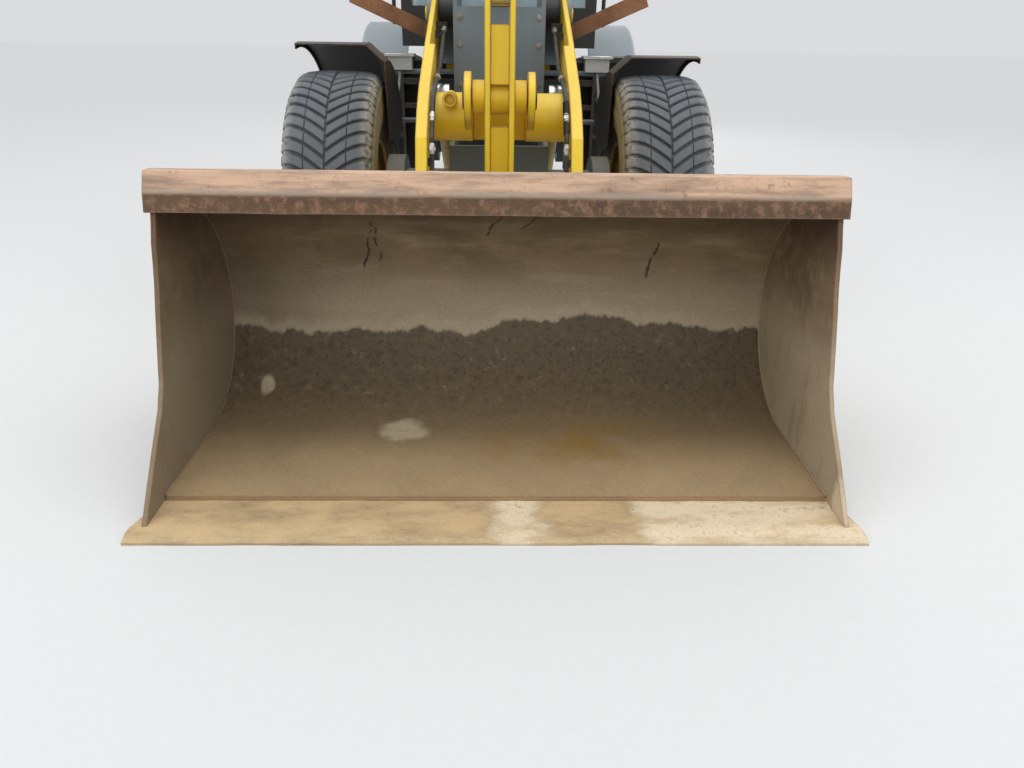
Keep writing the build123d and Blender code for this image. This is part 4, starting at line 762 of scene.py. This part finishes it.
class LOADER_OT_bucket(bpy.types.Operator):
    """Make the bucket's sheet, side plates, heel bars and weld seams"""

    bl_idname = "loader.bucket"
    bl_label = "Bucket"

    def execute(self, context):
        shape = Shape()
        half = SHELL_HIGH.x
        steps = 110
        skins = []
        for radius, push in ((BACK_RADIUS, 1), (BACK_RADIUS + SHEET, -1)):
            rings = []
            for i in range(steps + 1):
                x = between(-half, half, i / steps)
                fade = min(1, (half - abs(x)) / 0.12)
                ring = []
                for y, z, ny, nz in back_line(radius):
                    dent = wobble(x, y, z, 2.6, 3.1) * 0.005 + wobble(x, y, z, 8.0, 7.7) * 0.0014
                    dent *= fade * min(1, max(0, (z - 0.06) / 0.1)) * min(1, max(0, (1.235 - z) / 0.1))
                    dent = min(dent, 0.0)
                    ring.append(Vector((x, y - HALF_LENGTH + ny * dent, z + nz * dent)))
                rings.append(shape.points(ring))
            skins.append(rings)
            for first, second in zip(rings, rings[1:]):
                for k in range(len(first) - 1):
                    corners = (first[k], first[k + 1], second[k + 1], second[k])
                    shape.face(corners if push > 0 else corners[::-1])
        inner, outer = skins
        for a, b in zip(range(steps), range(1, steps + 1)):
            shape.face((inner[a][0], inner[b][0], outer[b][0], outer[a][0]))
            shape.face((inner[b][-1], inner[a][-1], outer[a][-1], outer[b][-1]))
        for end in (0, -1):
            for k in range(len(inner[0]) - 1):
                shape.face((inner[end][k], outer[end][k], outer[end][k + 1], inner[end][k + 1]))
        shape.piece("bucket_sheet", "bucket", "worn_steel", ["wall"], replaces=["bucket_shell"])

        sides = Shape()
        rim = [(y, z) for y, z, _, _ in back_line(BACK_RADIUS + SHEET, 3, 30, 3)]
        front = []
        for (y0, z0), (y1, z1) in zip(SIDE_FRONT, SIDE_FRONT[1:]):
            for i in range(6):
                y, z = between(y0, y1, i / 6), between(z0, z1, i / 6)
                front.append((y + abs(wobble(y, z, 0.3, 9, 1.3)) * 0.004, z))
        front += [SIDE_FRONT[-1], (FLOOR_FRONT, SIDE_FRONT[-1][1])]
        outline = [(y - HALF_LENGTH, z) for y, z in front + rim]
        for side in (-1, 1):
            x0, x1 = sorted((side * (half - SHEET + 0.0004), side * half))
            sides.plate(outline, x0, x1)
        bar_half, bar_front, bar_back, bar_top = 0.045, 0.33 - HALF_LENGTH, 0.90 - HALF_LENGTH, 0.031
        for x in (-1.24, -0.76, -0.25, 0.25, 0.76, 1.24):
            sides.box((x - bar_half, bar_front, 0.0), (x + bar_half, bar_back, bar_top))
        sides.piece("bucket_sides", "bucket", "worn_steel", ["wall"], bevel=0.0025)

        welds = Shape()
        seam = [(y - HALF_LENGTH, z) for y, z, _, _ in back_line(BACK_RADIUS - 0.003, 10, 60, 12)]
        for side in (-1, 1):
            x = side * (half - SHEET - 0.003)
            path = [(x, y, z) for y, z in seam]
            welds.sweep(path, 0.008, 8, wave=lambda i: 0.85 + 0.3 * (i % 2) * 0.5 + 0.1 * math.sin(i * 1.7))
        lap = []
        for i in range(90):
            x = between(-half + 0.03, half - 0.03, i / 89)
            lap.append((x, EDGE_HIGH.y + 0.001, EDGE_HIGH.z + 0.003))
        welds.sweep(lap, 0.008, 6, wave=lambda i: 0.8 + 0.25 * (i % 3) / 2)
        welds.piece("bucket_welds", "bucket", "worn_steel", ["wall"], sharp=80)
        return {"FINISHED"}


class LOADER_OT_spill_guard(bpy.types.Operator):
    """Make the folded, rusty guard on the bucket's top edge"""

    bl_idname = "loader.spill_guard"
    bl_label = "Spill guard"

    def execute(self, context):
        shape = Shape()
        half = LIP_HIGH.x
        section = [
            (0.617, 1.089), (0.6215, 1.107), (0.6265, 1.127), (0.631, 1.145), (0.636, 1.163), (0.6435, 1.179),
            (0.653, 1.198), (0.6635, 1.220), (0.672, 1.235), (0.680, 1.2373), (0.715, 1.236),
            (0.7495, 1.2335), (0.742, 1.218), (0.700, 1.190), (0.682, 1.177), (0.656, 1.159),
            (0.637, 1.087), (0.627, 1.0865),
        ]
        # (x, half width, height) of the knocks along the top
        bumps = ((-0.266, 0.016, 0.005), (0.298, 0.020, 0.006), (0.858, 0.012, 0.004), (-0.90, 0.03, 0.003))
        rings = []
        steps = 200
        for i in range(steps + 1):
            x = between(-half, half, i / steps)
            sway = wobble(x, 0.4, 0.2, 1.3, 5.0) * 0.004 + wobble(x, 0.1, 0.9, 5.0, 2.0) * 0.0022
            rise = sum(h * math.exp(-(((x - c) / w) ** 2)) for c, w, h in bumps)
            ring = []
            for k, (y, z) in enumerate(section):
                low = 1 if z < 1.13 else 0.35
                nick = abs(wobble(x, y, z, 22, 4.0)) * 0.0025
                lean = max(0.0, sway * low)
                top = rise if 8 <= k <= 10 else 0
                droop = -wobble(x, 0.7, 0.3, 3.0, 8.0) * 0.003 * low
                sag = min(0, droop) * (k < 3 or k > 15)
                ring.append((x, y + lean + nick * 0.5 - HALF_LENGTH, z + top + sag))
            rings.append(ring)
        shape.loft(rings)
        shape.piece("spill_guard", "bucket", "rusty_steel", ["lip"], replaces=["spill_lip"], sharp=28)
        return {"FINISHED"}


class LOADER_OT_cutting_edge(bpy.types.Operator):
    """Make the worn cutting edge with dry mud on it"""

    bl_idname = "loader.cutting_edge"
    bl_label = "Cutting edge"

    def execute(self, context):
        shape = Shape()
        half, shell = EDGE_HIGH.x, SHELL_HIGH.x
        rows = [0.0, 0.004, 0.012, 0.025, 0.045, 0.070, 0.10, 0.14, 0.18, 0.215, 0.26, 0.300]
        rings = []
        steps = 260
        for i in range(steps + 1):
            share = between(-1, 1, i / steps)
            top, low = [], []
            for y in rows:
                width = between(half, shell, min(1, max(0, (y - 0.045) / 0.17)))
                x = share * width
                worn = max(0.0, wobble(share * half, 0.2, 0.6, 4.0, 6.0)) * 0.006 if y < 0.03 else 0
                plain = between(0.008, 0.030, min(1, y / 0.070))
                mud = max(0.0, wobble(x, y, 0.2, 16, 9.0)) * 0.003
                mud += max(0.0, wobble(x, y, 0.8, 45, 2.0)) * 0.0016
                mud *= min(1, y / 0.02) * min(1, (0.300 - y) / 0.02)
                top.append((x, y + worn - HALF_LENGTH, plain + mud))
                low.append((x, y + worn - HALF_LENGTH, 0.0))
            rings.append(top + low[::-1])
        shape.loft(rings)
        shape.piece("edge_blade", "bucket", "worn_steel", ["edge"], replaces=["cutting_edge"], sharp=40)
        return {"FINISHED"}


class LOADER_OT_tyres(bpy.types.Operator):
    """Make the four tyres with rows of slanting lugs"""

    bl_idname = "loader.tyres"
    bl_label = "Tyres"

    def top_radius(self, x):
        """The tread's radius at a distance from the tyre's middle."""
        marks = [(0.0, TYRE_RADIUS), (0.150, TYRE_RADIUS - 0.004), (0.205, TYRE_RADIUS - 0.013),
                 (0.238, TYRE_RADIUS - 0.030), (TYRE_WIDTH / 2, TYRE_RADIUS - 0.080)]
        for (x0, r0), (x1, r1) in zip(marks, marks[1:]):
            if x <= x1:
                return between(r0, r1, (x - x0) / (x1 - x0))
        return marks[-1][1]

    def execute(self, context):
        sizes = context.scene.loader_tyre
        pitch = 2 * math.pi / sizes.rows
        groove = sizes.groove / TYRE_RADIUS
        draw = random.Random(41)
        wall = TYRE_WIDTH / 2
        bead = 0.3205
        # (in from the widest place, below the tread's top) down the side wall
        falls = [
            (0.002, 0.115), (0.0, 0.135), (0.003, 0.145), (0.001, 0.20), (0.001, 0.235), (0.004, 0.240),
            (0.006, 0.285), (0.013, 0.31), (0.016, 0.314), (0.032, 0.355),
        ]
        outer = [(wall - inward, TYRE_RADIUS - fall) for inward, fall in falls]
        outer += [(0.214, bead + 0.040), (0.2055, bead + 0.028), (0.2055, bead)]
        floor = [(x, self.top_radius(x) - sizes.depth) for x in (0.0, 0.08, 0.15, 0.20, 0.235, 0.252)]
        # (from, to) across one half of the tread, parted by a thin sipe; the last lug wraps the shoulder
        blocks = ((0.005, 0.118), (0.1215, 0.2595))
        for end, centre in (("front", FRONT_WHEEL), ("rear", REAR_WHEEL)):
            for word, side_x in SIDES:
                shape = Shape()
                middle = Vector((side_x * abs(centre.x), centre.y, centre.z))
                half = floor + outer
                inner = [(0.165, bead), (0.19, 0.38), (0.215, 0.50), (0.19, 0.655), (0.0, 0.668)]
                ring = [(-x, r) for x, r in reversed(half[1:])] + half + inner
                ring += [(-x, r) for x, r in reversed(inner[:-1])]
                shape.turned(ring, middle, sides=116, hollow=True)
                for half_sign in (1, -1):
                    for row in range(sizes.rows):
                        start = (row + (0.5 if half_sign < 0 else 0)) * pitch
                        for x0, x1 in blocks:
                            self.block(
                                shape, middle, half_sign, start, groove, pitch, x0, x1, draw, sizes.depth
                            )
                shape.piece(
                    f"tread_{end}_{word}", f"wheel_{end}_{word}", "tyre_rubber", [f"{end}_rubber"],
                    replaces=[f"tyre_{end}_{word}"], sharp=30,
                )
        return {"FINISHED"}

    def block(self, shape, middle, side, start, groove, pitch, x0, x1, draw, depth):
        """One long curved lug with worn, rounded corners."""
        def slant(x):
            return math.radians(10) * math.sin(min(1, x / 0.25) * math.pi / 2)

        def place(x, angle, radius):
            # the first row stands at the top, and angles grow towards the machine's front
            return middle + Vector((side * x, -radius * math.sin(angle), radius * math.cos(angle)))

        width = pitch - groove
        worn = draw.uniform(0.0, 0.0025)
        soft = draw.uniform(0.0035, 0.0055)
        lean = draw.uniform(-0.0012, 0.0012)
        rings = []
        for share, drop in ((0.0, 1), (0.03, 0), (0.25, 0), (0.5, 0), (0.75, 0), (0.97, 0), (1.0, 1)):
            x = between(x0, x1, share)
            top = self.top_radius(x) - worn - soft * drop
            start_angle = start - slant(x)
            trim = soft / TYRE_RADIUS
            ring = [
                place(x, start_angle, self.top_radius(x) - depth - 0.004),
                place(x, start_angle, top - soft),
                place(x, start_angle + trim, top + lean),
                place(x, start_angle + width - trim, top - lean),
                place(x, start_angle + width, top - soft),
                place(x, start_angle + width, self.top_radius(x) - depth - 0.004),
            ]
            rings.append(ring)
        shape.loft(rings)


class LOADER_OT_rims(bpy.types.Operator):
    """Make the four dished rims with their hubs and wheel nuts"""

    bl_idname = "loader.rims"
    bl_label = "Rims"

    def execute(self, context):
        for end, centre in (("front", FRONT_WHEEL), ("rear", REAR_WHEEL)):
            for word, side in SIDES:
                middle = Vector((side * abs(centre.x), centre.y, centre.z))
                shape = Shape()
                band = [
                    (-0.2145, 0.345), (-0.2145, 0.336), (-0.206, 0.3195), (-0.150, 0.3165), (-0.120, 0.309),
                    (-0.04, 0.3065), (0.120, 0.309), (0.150, 0.3165), (0.206, 0.3195), (0.2145, 0.336),
                    (0.2145, 0.345), (0.2075, 0.3455), (0.2062, 0.3275), (0.200, 0.3197), (-0.200, 0.3197),
                    (-0.2062, 0.3275), (-0.2075, 0.3455),
                ]
                shape.turned(band, middle, 96, hollow=True)
                disc = [
                    (-0.052, 0.305), (-0.050, 0.300), (-0.046, 0.285), (-0.020, 0.240), (-0.022, 0.205),
                    (-0.022, 0.150), (-0.034, 0.150), (-0.034, 0.205), (-0.033, 0.238), (-0.058, 0.283),
                    (-0.062, 0.300), (-0.064, 0.305),
                ]
                shape.turned([(along * side, radius) for along, radius in disc], middle, 96, capped=False)
                shape.finish = 1
                hub = [
                    (-0.262, 0.062), (-0.262, 0.148), (-0.045, 0.150), (-0.012, 0.150), (-0.008, 0.146),
                    (0.020, 0.128), (0.032, 0.122), (0.036, 0.115), (0.044, 0.060), (0.048, 0.052),
                    (0.049, 0.001),
                ]
                shape.turned([(along * side, radius) for along, radius in hub], middle, 72)
                shape.finish = 2
                for i in range(16):
                    a = 2 * math.pi * i / 16
                    nut = middle + Vector((-0.022 * side, 0.182 * math.sin(a), 0.182 * math.cos(a)))
                    shape.bolt(nut, (side, 0, 0), 0.013)
                    stud = nut + Vector((0.010 * side, 0, 0))
                    shape.rod(stud, stud + Vector((0.018 * side, 0, 0)), 0.006, 8)
                for i in range(10):
                    a = 2 * math.pi * (i + 0.5) / 10
                    place = middle + Vector((0.035 * side, 0.088 * math.sin(a), 0.088 * math.cos(a)))
                    shape.bolt(place, (side, 0, 0), 0.008)
                looks = ["rim_yellow", "grey", "steel"]
                shape.piece(
                    f"wheel_rim_{end}_{word}", f"wheel_{end}_{word}", "rim_paint", looks,
                    replaces=[f"rim_{end}_{word}"],
                )
        return {"FINISHED"}


CAD_FINISHES = {
    "wall": ["bucket_lugs"],
    "dark": [
        "bucket_pins", "lever_pin", "link_pin", "frame_pins", "front_fenders", "body_mounts", "side_steps",
        "rear_grille", "exhaust", "handrails", "steer_barrel_left", "steer_barrel_right", "side_boxes",
        "steering_column",
    ],
    "yellow": ["lift_arms", "bell_crank", "tilt_link", "tilt_barrel", "lift_barrels", "quick_coupling"],
    "cab": ["cab_frame", "cab_door"],
    "hood_yellow": ["engine_hood"],
    "plated": ["tilt_rod", "lift_rods", "steer_rod_left", "steer_rod_right"],
    "grey": [
        "front_frame", "steer_ears", "tower_ears", "front_axle", "fender_stays", "rear_frame",
        "steer_brackets", "rear_axle", "counterweight", "engine", "gearbox",
    ],
    "pale_grey": ["rear_fenders"],
    "rusty": ["lamp_brackets"],
    "plastic": ["mirrors", "work_lamps", "headlamps"],
    "glass": ["cab_glass", "door_glass"],
    "seat": ["seat"],
    "tread": ["front_steps"],
    "hose": ["arm_hoses"],
}


class LOADER_OT_finishes(bpy.types.Operator):
    """Give every node that stays in view its worn finish"""

    bl_idname = "loader.finishes"
    bl_label = "Finishes"

    def execute(self, context):
        for finish, names in CAD_FINISHES.items():
            for name in names:
                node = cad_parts[name]
                if not node.material_slots:
                    node.data.materials.append(None)
                for slot in node.material_slots:
                    slot.material = finishes()[finish]
        return {"FINISHED"}


# The camera as fitted to the photograph: yaw, pitch and roll in radians, lens in millimetres, x in metres
CAMERA_TURNS = (0.02489796, 0.43682061, 0.01543195)
CAMERA_LENS = 27.035
CAMERA_X = -0.01899


class LOADER_OT_stage(bpy.types.Operator):
    """Lay the pale floor, hang the soft lamps and set the camera"""

    bl_idname = "loader.stage"
    bl_label = "Stage"

    def execute(self, context):
        sizes = context.scene.loader_stage
        f = Finish("pale_floor")
        fine = f.cloud(30, 6, 0.6)
        f.surface(f.shade(sizes.floor, 0.97 + fine * 0.06), 0.85, fine, 0.0006)
        data = bpy.data.meshes.new("floor")
        mesh = bmesh.new()
        bmesh.ops.create_grid(mesh, x_segments=2, y_segments=2, size=60)
        mesh.to_mesh(data)
        mesh.free()
        data.materials.append(f.material)
        floor = bpy.data.objects.new("floor", data)
        floor.location.z = -0.001
        context.scene.collection.objects.link(floor)
        world = bpy.data.worlds.new("soft_sky")
        context.scene.world = world
        world.use_nodes = True
        tree = world.node_tree
        light = tree.nodes["Background"]
        light.inputs["Color"].default_value = (0.95, 0.97, 1.0, 1)
        light.inputs["Strength"].default_value = sizes.sky
        seen = tree.nodes.new("ShaderNodeBackground")
        far_floor = [c * share for c, share in zip(sizes.floor, (1.03, 1.05, 1.10))]
        seen.inputs["Color"].default_value = (*far_floor, 1)
        path = tree.nodes.new("ShaderNodeLightPath")
        both = tree.nodes.new("ShaderNodeMixShader")
        tree.links.new(path.outputs["Is Camera Ray"], both.inputs[0])
        tree.links.new(light.outputs[0], both.inputs[1])
        tree.links.new(seen.outputs[0], both.inputs[2])
        tree.links.new(both.outputs[0], tree.nodes["World Output"].inputs["Surface"])
        self.lamp("overhead", (0.0, -2.0, 7.5), (0.0, 0.0, 0.5), 7.0, sizes.key)
        self.lamp("left_fill", (-6.5, -6.0, 4.5), (0.0, -2.0, 0.6), 4.0, sizes.key * 0.35)
        self.lamp("right_fill", (6.5, -5.0, 4.0), (0.0, -2.0, 0.6), 4.0, sizes.key * 0.30)
        self.lamp("behind", (2.0, 8.5, 5.0), (0.0, 2.0, 1.0), 5.0, sizes.key * 0.35)
        camera = bpy.data.objects.new("camera", bpy.data.cameras.new("camera"))
        camera.data.lens = CAMERA_LENS
        camera.data.sensor_width = 36.0
        camera.data.clip_end = 200
        yaw, pitch, roll = CAMERA_TURNS
        ahead = Vector((math.sin(yaw) * math.cos(pitch), math.cos(yaw) * math.cos(pitch), -math.sin(pitch)))
        level = Vector((math.cos(yaw), -math.sin(yaw), 0))
        upright = level.cross(ahead)
        right = level * math.cos(roll) + upright * math.sin(roll)
        up = upright * math.cos(roll) - level * math.sin(roll)
        turn = Matrix((right, up, -ahead)).transposed().to_4x4()
        place = Matrix.Translation((CAMERA_X, -HALF_LENGTH - sizes.distance, sizes.height))
        camera.matrix_world = place @ turn
        context.scene.collection.objects.link(camera)
        context.scene.camera = camera
        context.scene.view_settings.view_transform = "Standard"
        return {"FINISHED"}

    def lamp(self, name, place, aim, size, power):
        light = bpy.data.lights.new(name, "AREA")
        light.shape = "SQUARE"
        light.size = size
        light.energy = power
        lamp = bpy.data.objects.new(name, light)
        lamp.location = place
        lamp.rotation_euler = (Vector(aim) - Vector(place)).to_track_quat("-Z", "Y").to_euler()
        bpy.context.scene.collection.objects.link(lamp)


# Small pieces, with places as x, distance behind the cutting edge and height, in metres

# (name, centre, half sizes, thin axis, places of the sewn channels)
CUSHIONS = [
    ("seat_cushion", (0.0, 5.105, 2.020), (0.258, 0.223, 0.060), 2, (-0.11, 0.11)),
    ("seat_back", (0.0, 5.285, 2.400), (0.238, 0.054, 0.298), 1, (-0.10, 0.10)),
]
# (name, body, x, front face's distance behind the cutting edge, height, radius)
LAMPS = [
    ("headlamp", "front_body", 0.955, 3.235, 2.100, 0.095),
    ("work_lamp", "rear_body", 0.550, 4.020, 3.175, 0.058),
]


class LOADER_OT_seat(bpy.types.Operator):
    """Make the driver's seat: two crowned cushions with sewn channels, on a ribbed foot"""

    bl_idname = "loader.seat"
    bl_label = "Seat"

    def execute(self, context):
        for name, centre, half, thin, seams in CUSHIONS:
            shape = Shape()
            rings, around, across = [], 48, 24
            for i in range(1, across):
                tilt = math.pi * (i / across - 0.5)
                ring = []
                for k in range(around):
                    turn = 2 * math.pi * k / around
                    flat = (self.rounded(math.cos(turn), 0.42), self.rounded(math.sin(turn), 0.42))
                    reach, rise = self.rounded(math.cos(tilt), 0.34), self.rounded(math.sin(tilt), 0.62)
                    spread = [axis for axis in range(3) if axis != thin]
                    place = [0.0, 0.0, 0.0]
                    place[spread[0]] = flat[0] * reach
                    place[spread[1]] = flat[1] * reach
                    sewn = max(math.exp(-((place[0] * half[0] - seam) / 0.007) ** 2) for seam in seams)
                    place[thin] = rise * (1 - 0.16 * sewn)
                    ring.append(Vector([share * size for share, size in zip(place, half)]))
                middle = Vector((centre[0], centre[1] - HALF_LENGTH, centre[2]))
                rings.append([middle + p for p in ring])
            shape.loft(rings)
            made = shape.piece(name, "rear_body", "seat_leather", ["seat"], replaces=["seat"], sharp=80)
        shape = Shape()
        rings = []
        for i in range(15):
            z = 1.640 + 0.022 * i
            into = 0.0 if i % 2 else 0.018
            x, front, back = 0.178 - into, 4.955 - HALF_LENGTH + into, 5.285 - HALF_LENGTH - into
            rings.append([(-x, front, z), (x, front, z), (x, back, z), (-x, back, z)])
        shape.loft(rings)
        shape.piece("seat_foot", "rear_body", "black_plastic", ["seal"], replaces=["seat"], bevel=0.004)
        return {"FINISHED"}

    def rounded(self, value, power):
        """Squares off a circle's sine or cosine."""
        return math.copysign(abs(value) ** power, value)


class LOADER_OT_lamps(bpy.types.Operator):
    """Put rims, clear lenses and screws on the front lamps and the cab lamps"""

    bl_idname = "loader.lamps"
    bl_label = "Lamps"

    def execute(self, context):
        for word, side in SIDES:
            for name, body, x, y, z, radius in LAMPS:
                centre = (side * x, y - HALF_LENGTH, z)
                shape = Shape()
                rim = [(-0.0005, 1.0), (-0.010, 0.99), (-0.014, 0.95), (-0.012, 0.88), (-0.002, 0.86)]
                shape.turned([(along, radius * part) for along, part in rim], centre, 56, "Y")
                for i in range(4):
                    a = math.pi * (0.25 + 0.5 * i)
                    out = Vector((math.cos(a), 0, math.sin(a))) * radius * 0.93
                    shape.bolt(Vector(centre) + out + Vector((0, -0.012, 0)), (0, -1, 0), 0.005)
                shape.finish = 1
                glass = [(-0.003, 0.86), (-0.010, 0.84), (-0.014, 0.6), (-0.016, 0.3)]
                dome = [(along, radius * part) for along, part in glass] + [(-0.0165, 0.001)]
                shape.turned(dome, centre, 56, "Y")
                shape.piece(f"{name}_face_{word}", body, "lamp_plastic", ["plastic", "lens"], sharp=50)
        return {"FINISHED"}


# The hoses' corners as (distance behind the cutting edge, height), and how far out they lie
HOSE_SIDE = 0.354
HOSE_ROUTE = [(3.120, 1.745), (2.640, 1.530), (2.200, 1.452), (2.025, 1.405), (1.850, 1.215), (1.790, 0.980)]


class LOADER_OT_hose_wrap(bpy.types.Operator):
    """Wrap the left hose in a spiral guard and give both hoses their steel fittings"""

    bl_idname = "loader.hose_wrap"
    bl_label = "Hose guard and fittings"

    def execute(self, context):
        for word, side in SIDES:
            shape = Shape()
            for first, second, where in ((0, 1, 0.10), (1, 2, 0.62), (3, 4, 0.50), (4, 5, 0.22)):
                a, b = self.place(side, first), self.place(side, second)
                ahead = (b - a).normalized()
                middle = a.lerp(b, where)
                shape.finish = 0
                collar = [middle + ahead * run for run in (-0.028, -0.018, 0.018, 0.028)]
                shape.sweep(collar, 0.0165, 24, wave=lambda i: (0.86, 1, 1, 0.86)[i])
                shape.rod(middle - ahead * 0.010, middle + ahead * 0.010, 0.0205, 6)
            if word == "left":
                shape.finish = 1
                a, b = self.place(side, 3), self.place(side, 4)
                ahead = (b - a).normalized()
                across = Vector((1, 0, 0))
                up = ahead.cross(across)
                coil, turns, steps = [], 15, 14
                for i in range(turns * steps):
                    turn = 2 * math.pi * i / steps
                    out = (across * math.cos(turn) + up * math.sin(turn)) * 0.0155
                    coil.append(a.lerp(b, 0.10 + 0.80 * i / (turns * steps)) + out)
                shape.sweep(coil, 0.0032, 6)
            shape.piece(f"hose_fittings_{word}", "arms", "hose_rubber", ["zinc", "seal"], sharp=40)
        return {"FINISHED"}

    def place(self, side, number):
        """A point of the hose's route on one side."""
        y, z = HOSE_ROUTE[number]
        return Vector((side * HOSE_SIDE, y - HALF_LENGTH, z))


# Faces that small pieces sit on, as distances behind the cutting edge
TOWER_FACE = 3.0205
FRONT_WINDOW = 4.110


class LOADER_OT_bolts(bpy.types.Operator):
    """Bolt the counterweight and the tower's face, and fit the wiper and the mirrors' glass"""

    bl_idname = "loader.bolts"
    bl_label = "Bolts and cab trim"

    def execute(self, context):
        low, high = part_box("counterweight")
        shape = Shape()
        for side, wall in ((-1, low.x), (1, high.x)):
            for y in (high.y - 0.42, high.y - 0.18):
                for z in (0.80, 1.10):
                    shape.bolt((wall, y, z), (side, 0, 0), 0.022)
        shape.piece("counterweight_bolts", "rear_body", "worn_steel", ["steel"])
        shape = Shape()
        for x in (-0.25, 0.25):
            for z in (1.24, 1.40, 1.64, 1.80):
                shape.bolt((x, TOWER_FACE - HALF_LENGTH, z), (0, -1, 0), 0.014)
        shape.piece("tower_bolts", "front_body", "worn_steel", ["steel"])
        shape = Shape()
        front = FRONT_WINDOW - HALF_LENGTH
        shape.rod((-0.32, front - 0.012, 1.90), (-0.02, front - 0.016, 2.52), 0.006, 8)
        shape.rod((-0.07, front - 0.014, 2.24), (0.03, front - 0.014, 2.80), 0.008, 8)
        shape.rod((-0.32, front, 1.90), (-0.32, front - 0.020, 1.90), 0.016, 16)
        shape.piece("front_wiper", "rear_body", "black_plastic", ["seal"])
        shape = Shape()
        for side in (1, -1):
            x0, x1 = sorted((side * 1.012, side * 1.168))
            shape.box((x0, 4.0705 - HALF_LENGTH, 2.492), (x1, 4.0735 - HALF_LENGTH, 2.768))
        shape.piece("mirror_glass", "rear_body", "glass", ["plated"], bevel=0.002)
        return {"FINISHED"}


PIECES = [
    LOADER_OT_stage, LOADER_OT_finishes, LOADER_OT_bucket, LOADER_OT_spill_guard, LOADER_OT_cutting_edge,
    LOADER_OT_tyres, LOADER_OT_rims, LOADER_OT_seat, LOADER_OT_lamps, LOADER_OT_hose_wrap, LOADER_OT_bolts,
]


class LOADER_PT_panel(bpy.types.Panel):
    """The loader's pieces, each with its button"""

    bl_idname = "LOADER_PT_panel"
    bl_label = "Wheel loader"
    bl_space_type = "VIEW_3D"
    bl_region_type = "UI"
    bl_category = "Loader"

    def draw(self, context):
        for piece in PIECES:
            self.layout.operator(piece.bl_idname)
        for group_name in GROUPS:
            group = getattr(context.scene, group_name)
            for name in group.__annotations__:
                self.layout.prop(group, name)


GROUPS = {
    "loader_paint": PaintColours,
    "loader_dirt": DirtColours,
    "loader_tyre": TyreSizes,
    "loader_stage": StageSizes,
}


def register():
    for name, group in GROUPS.items():
        bpy.utils.register_class(group)
        setattr(bpy.types.Scene, name, PointerProperty(type=group))
    for piece in PIECES:
        bpy.utils.register_class(piece)
    bpy.utils.register_class(LOADER_PT_panel)


def unregister():
    bpy.utils.unregister_class(LOADER_PT_panel)
    for piece in reversed(PIECES):
        bpy.utils.unregister_class(piece)
    for name, group in GROUPS.items():
        delattr(bpy.types.Scene, name)
        bpy.utils.unregister_class(group)


def main():
    register()
    for piece in PIECES:
        group, name = piece.bl_idname.split(".")
        getattr(getattr(bpy.ops, group), name)()


if __name__ == "__main__":
    main()
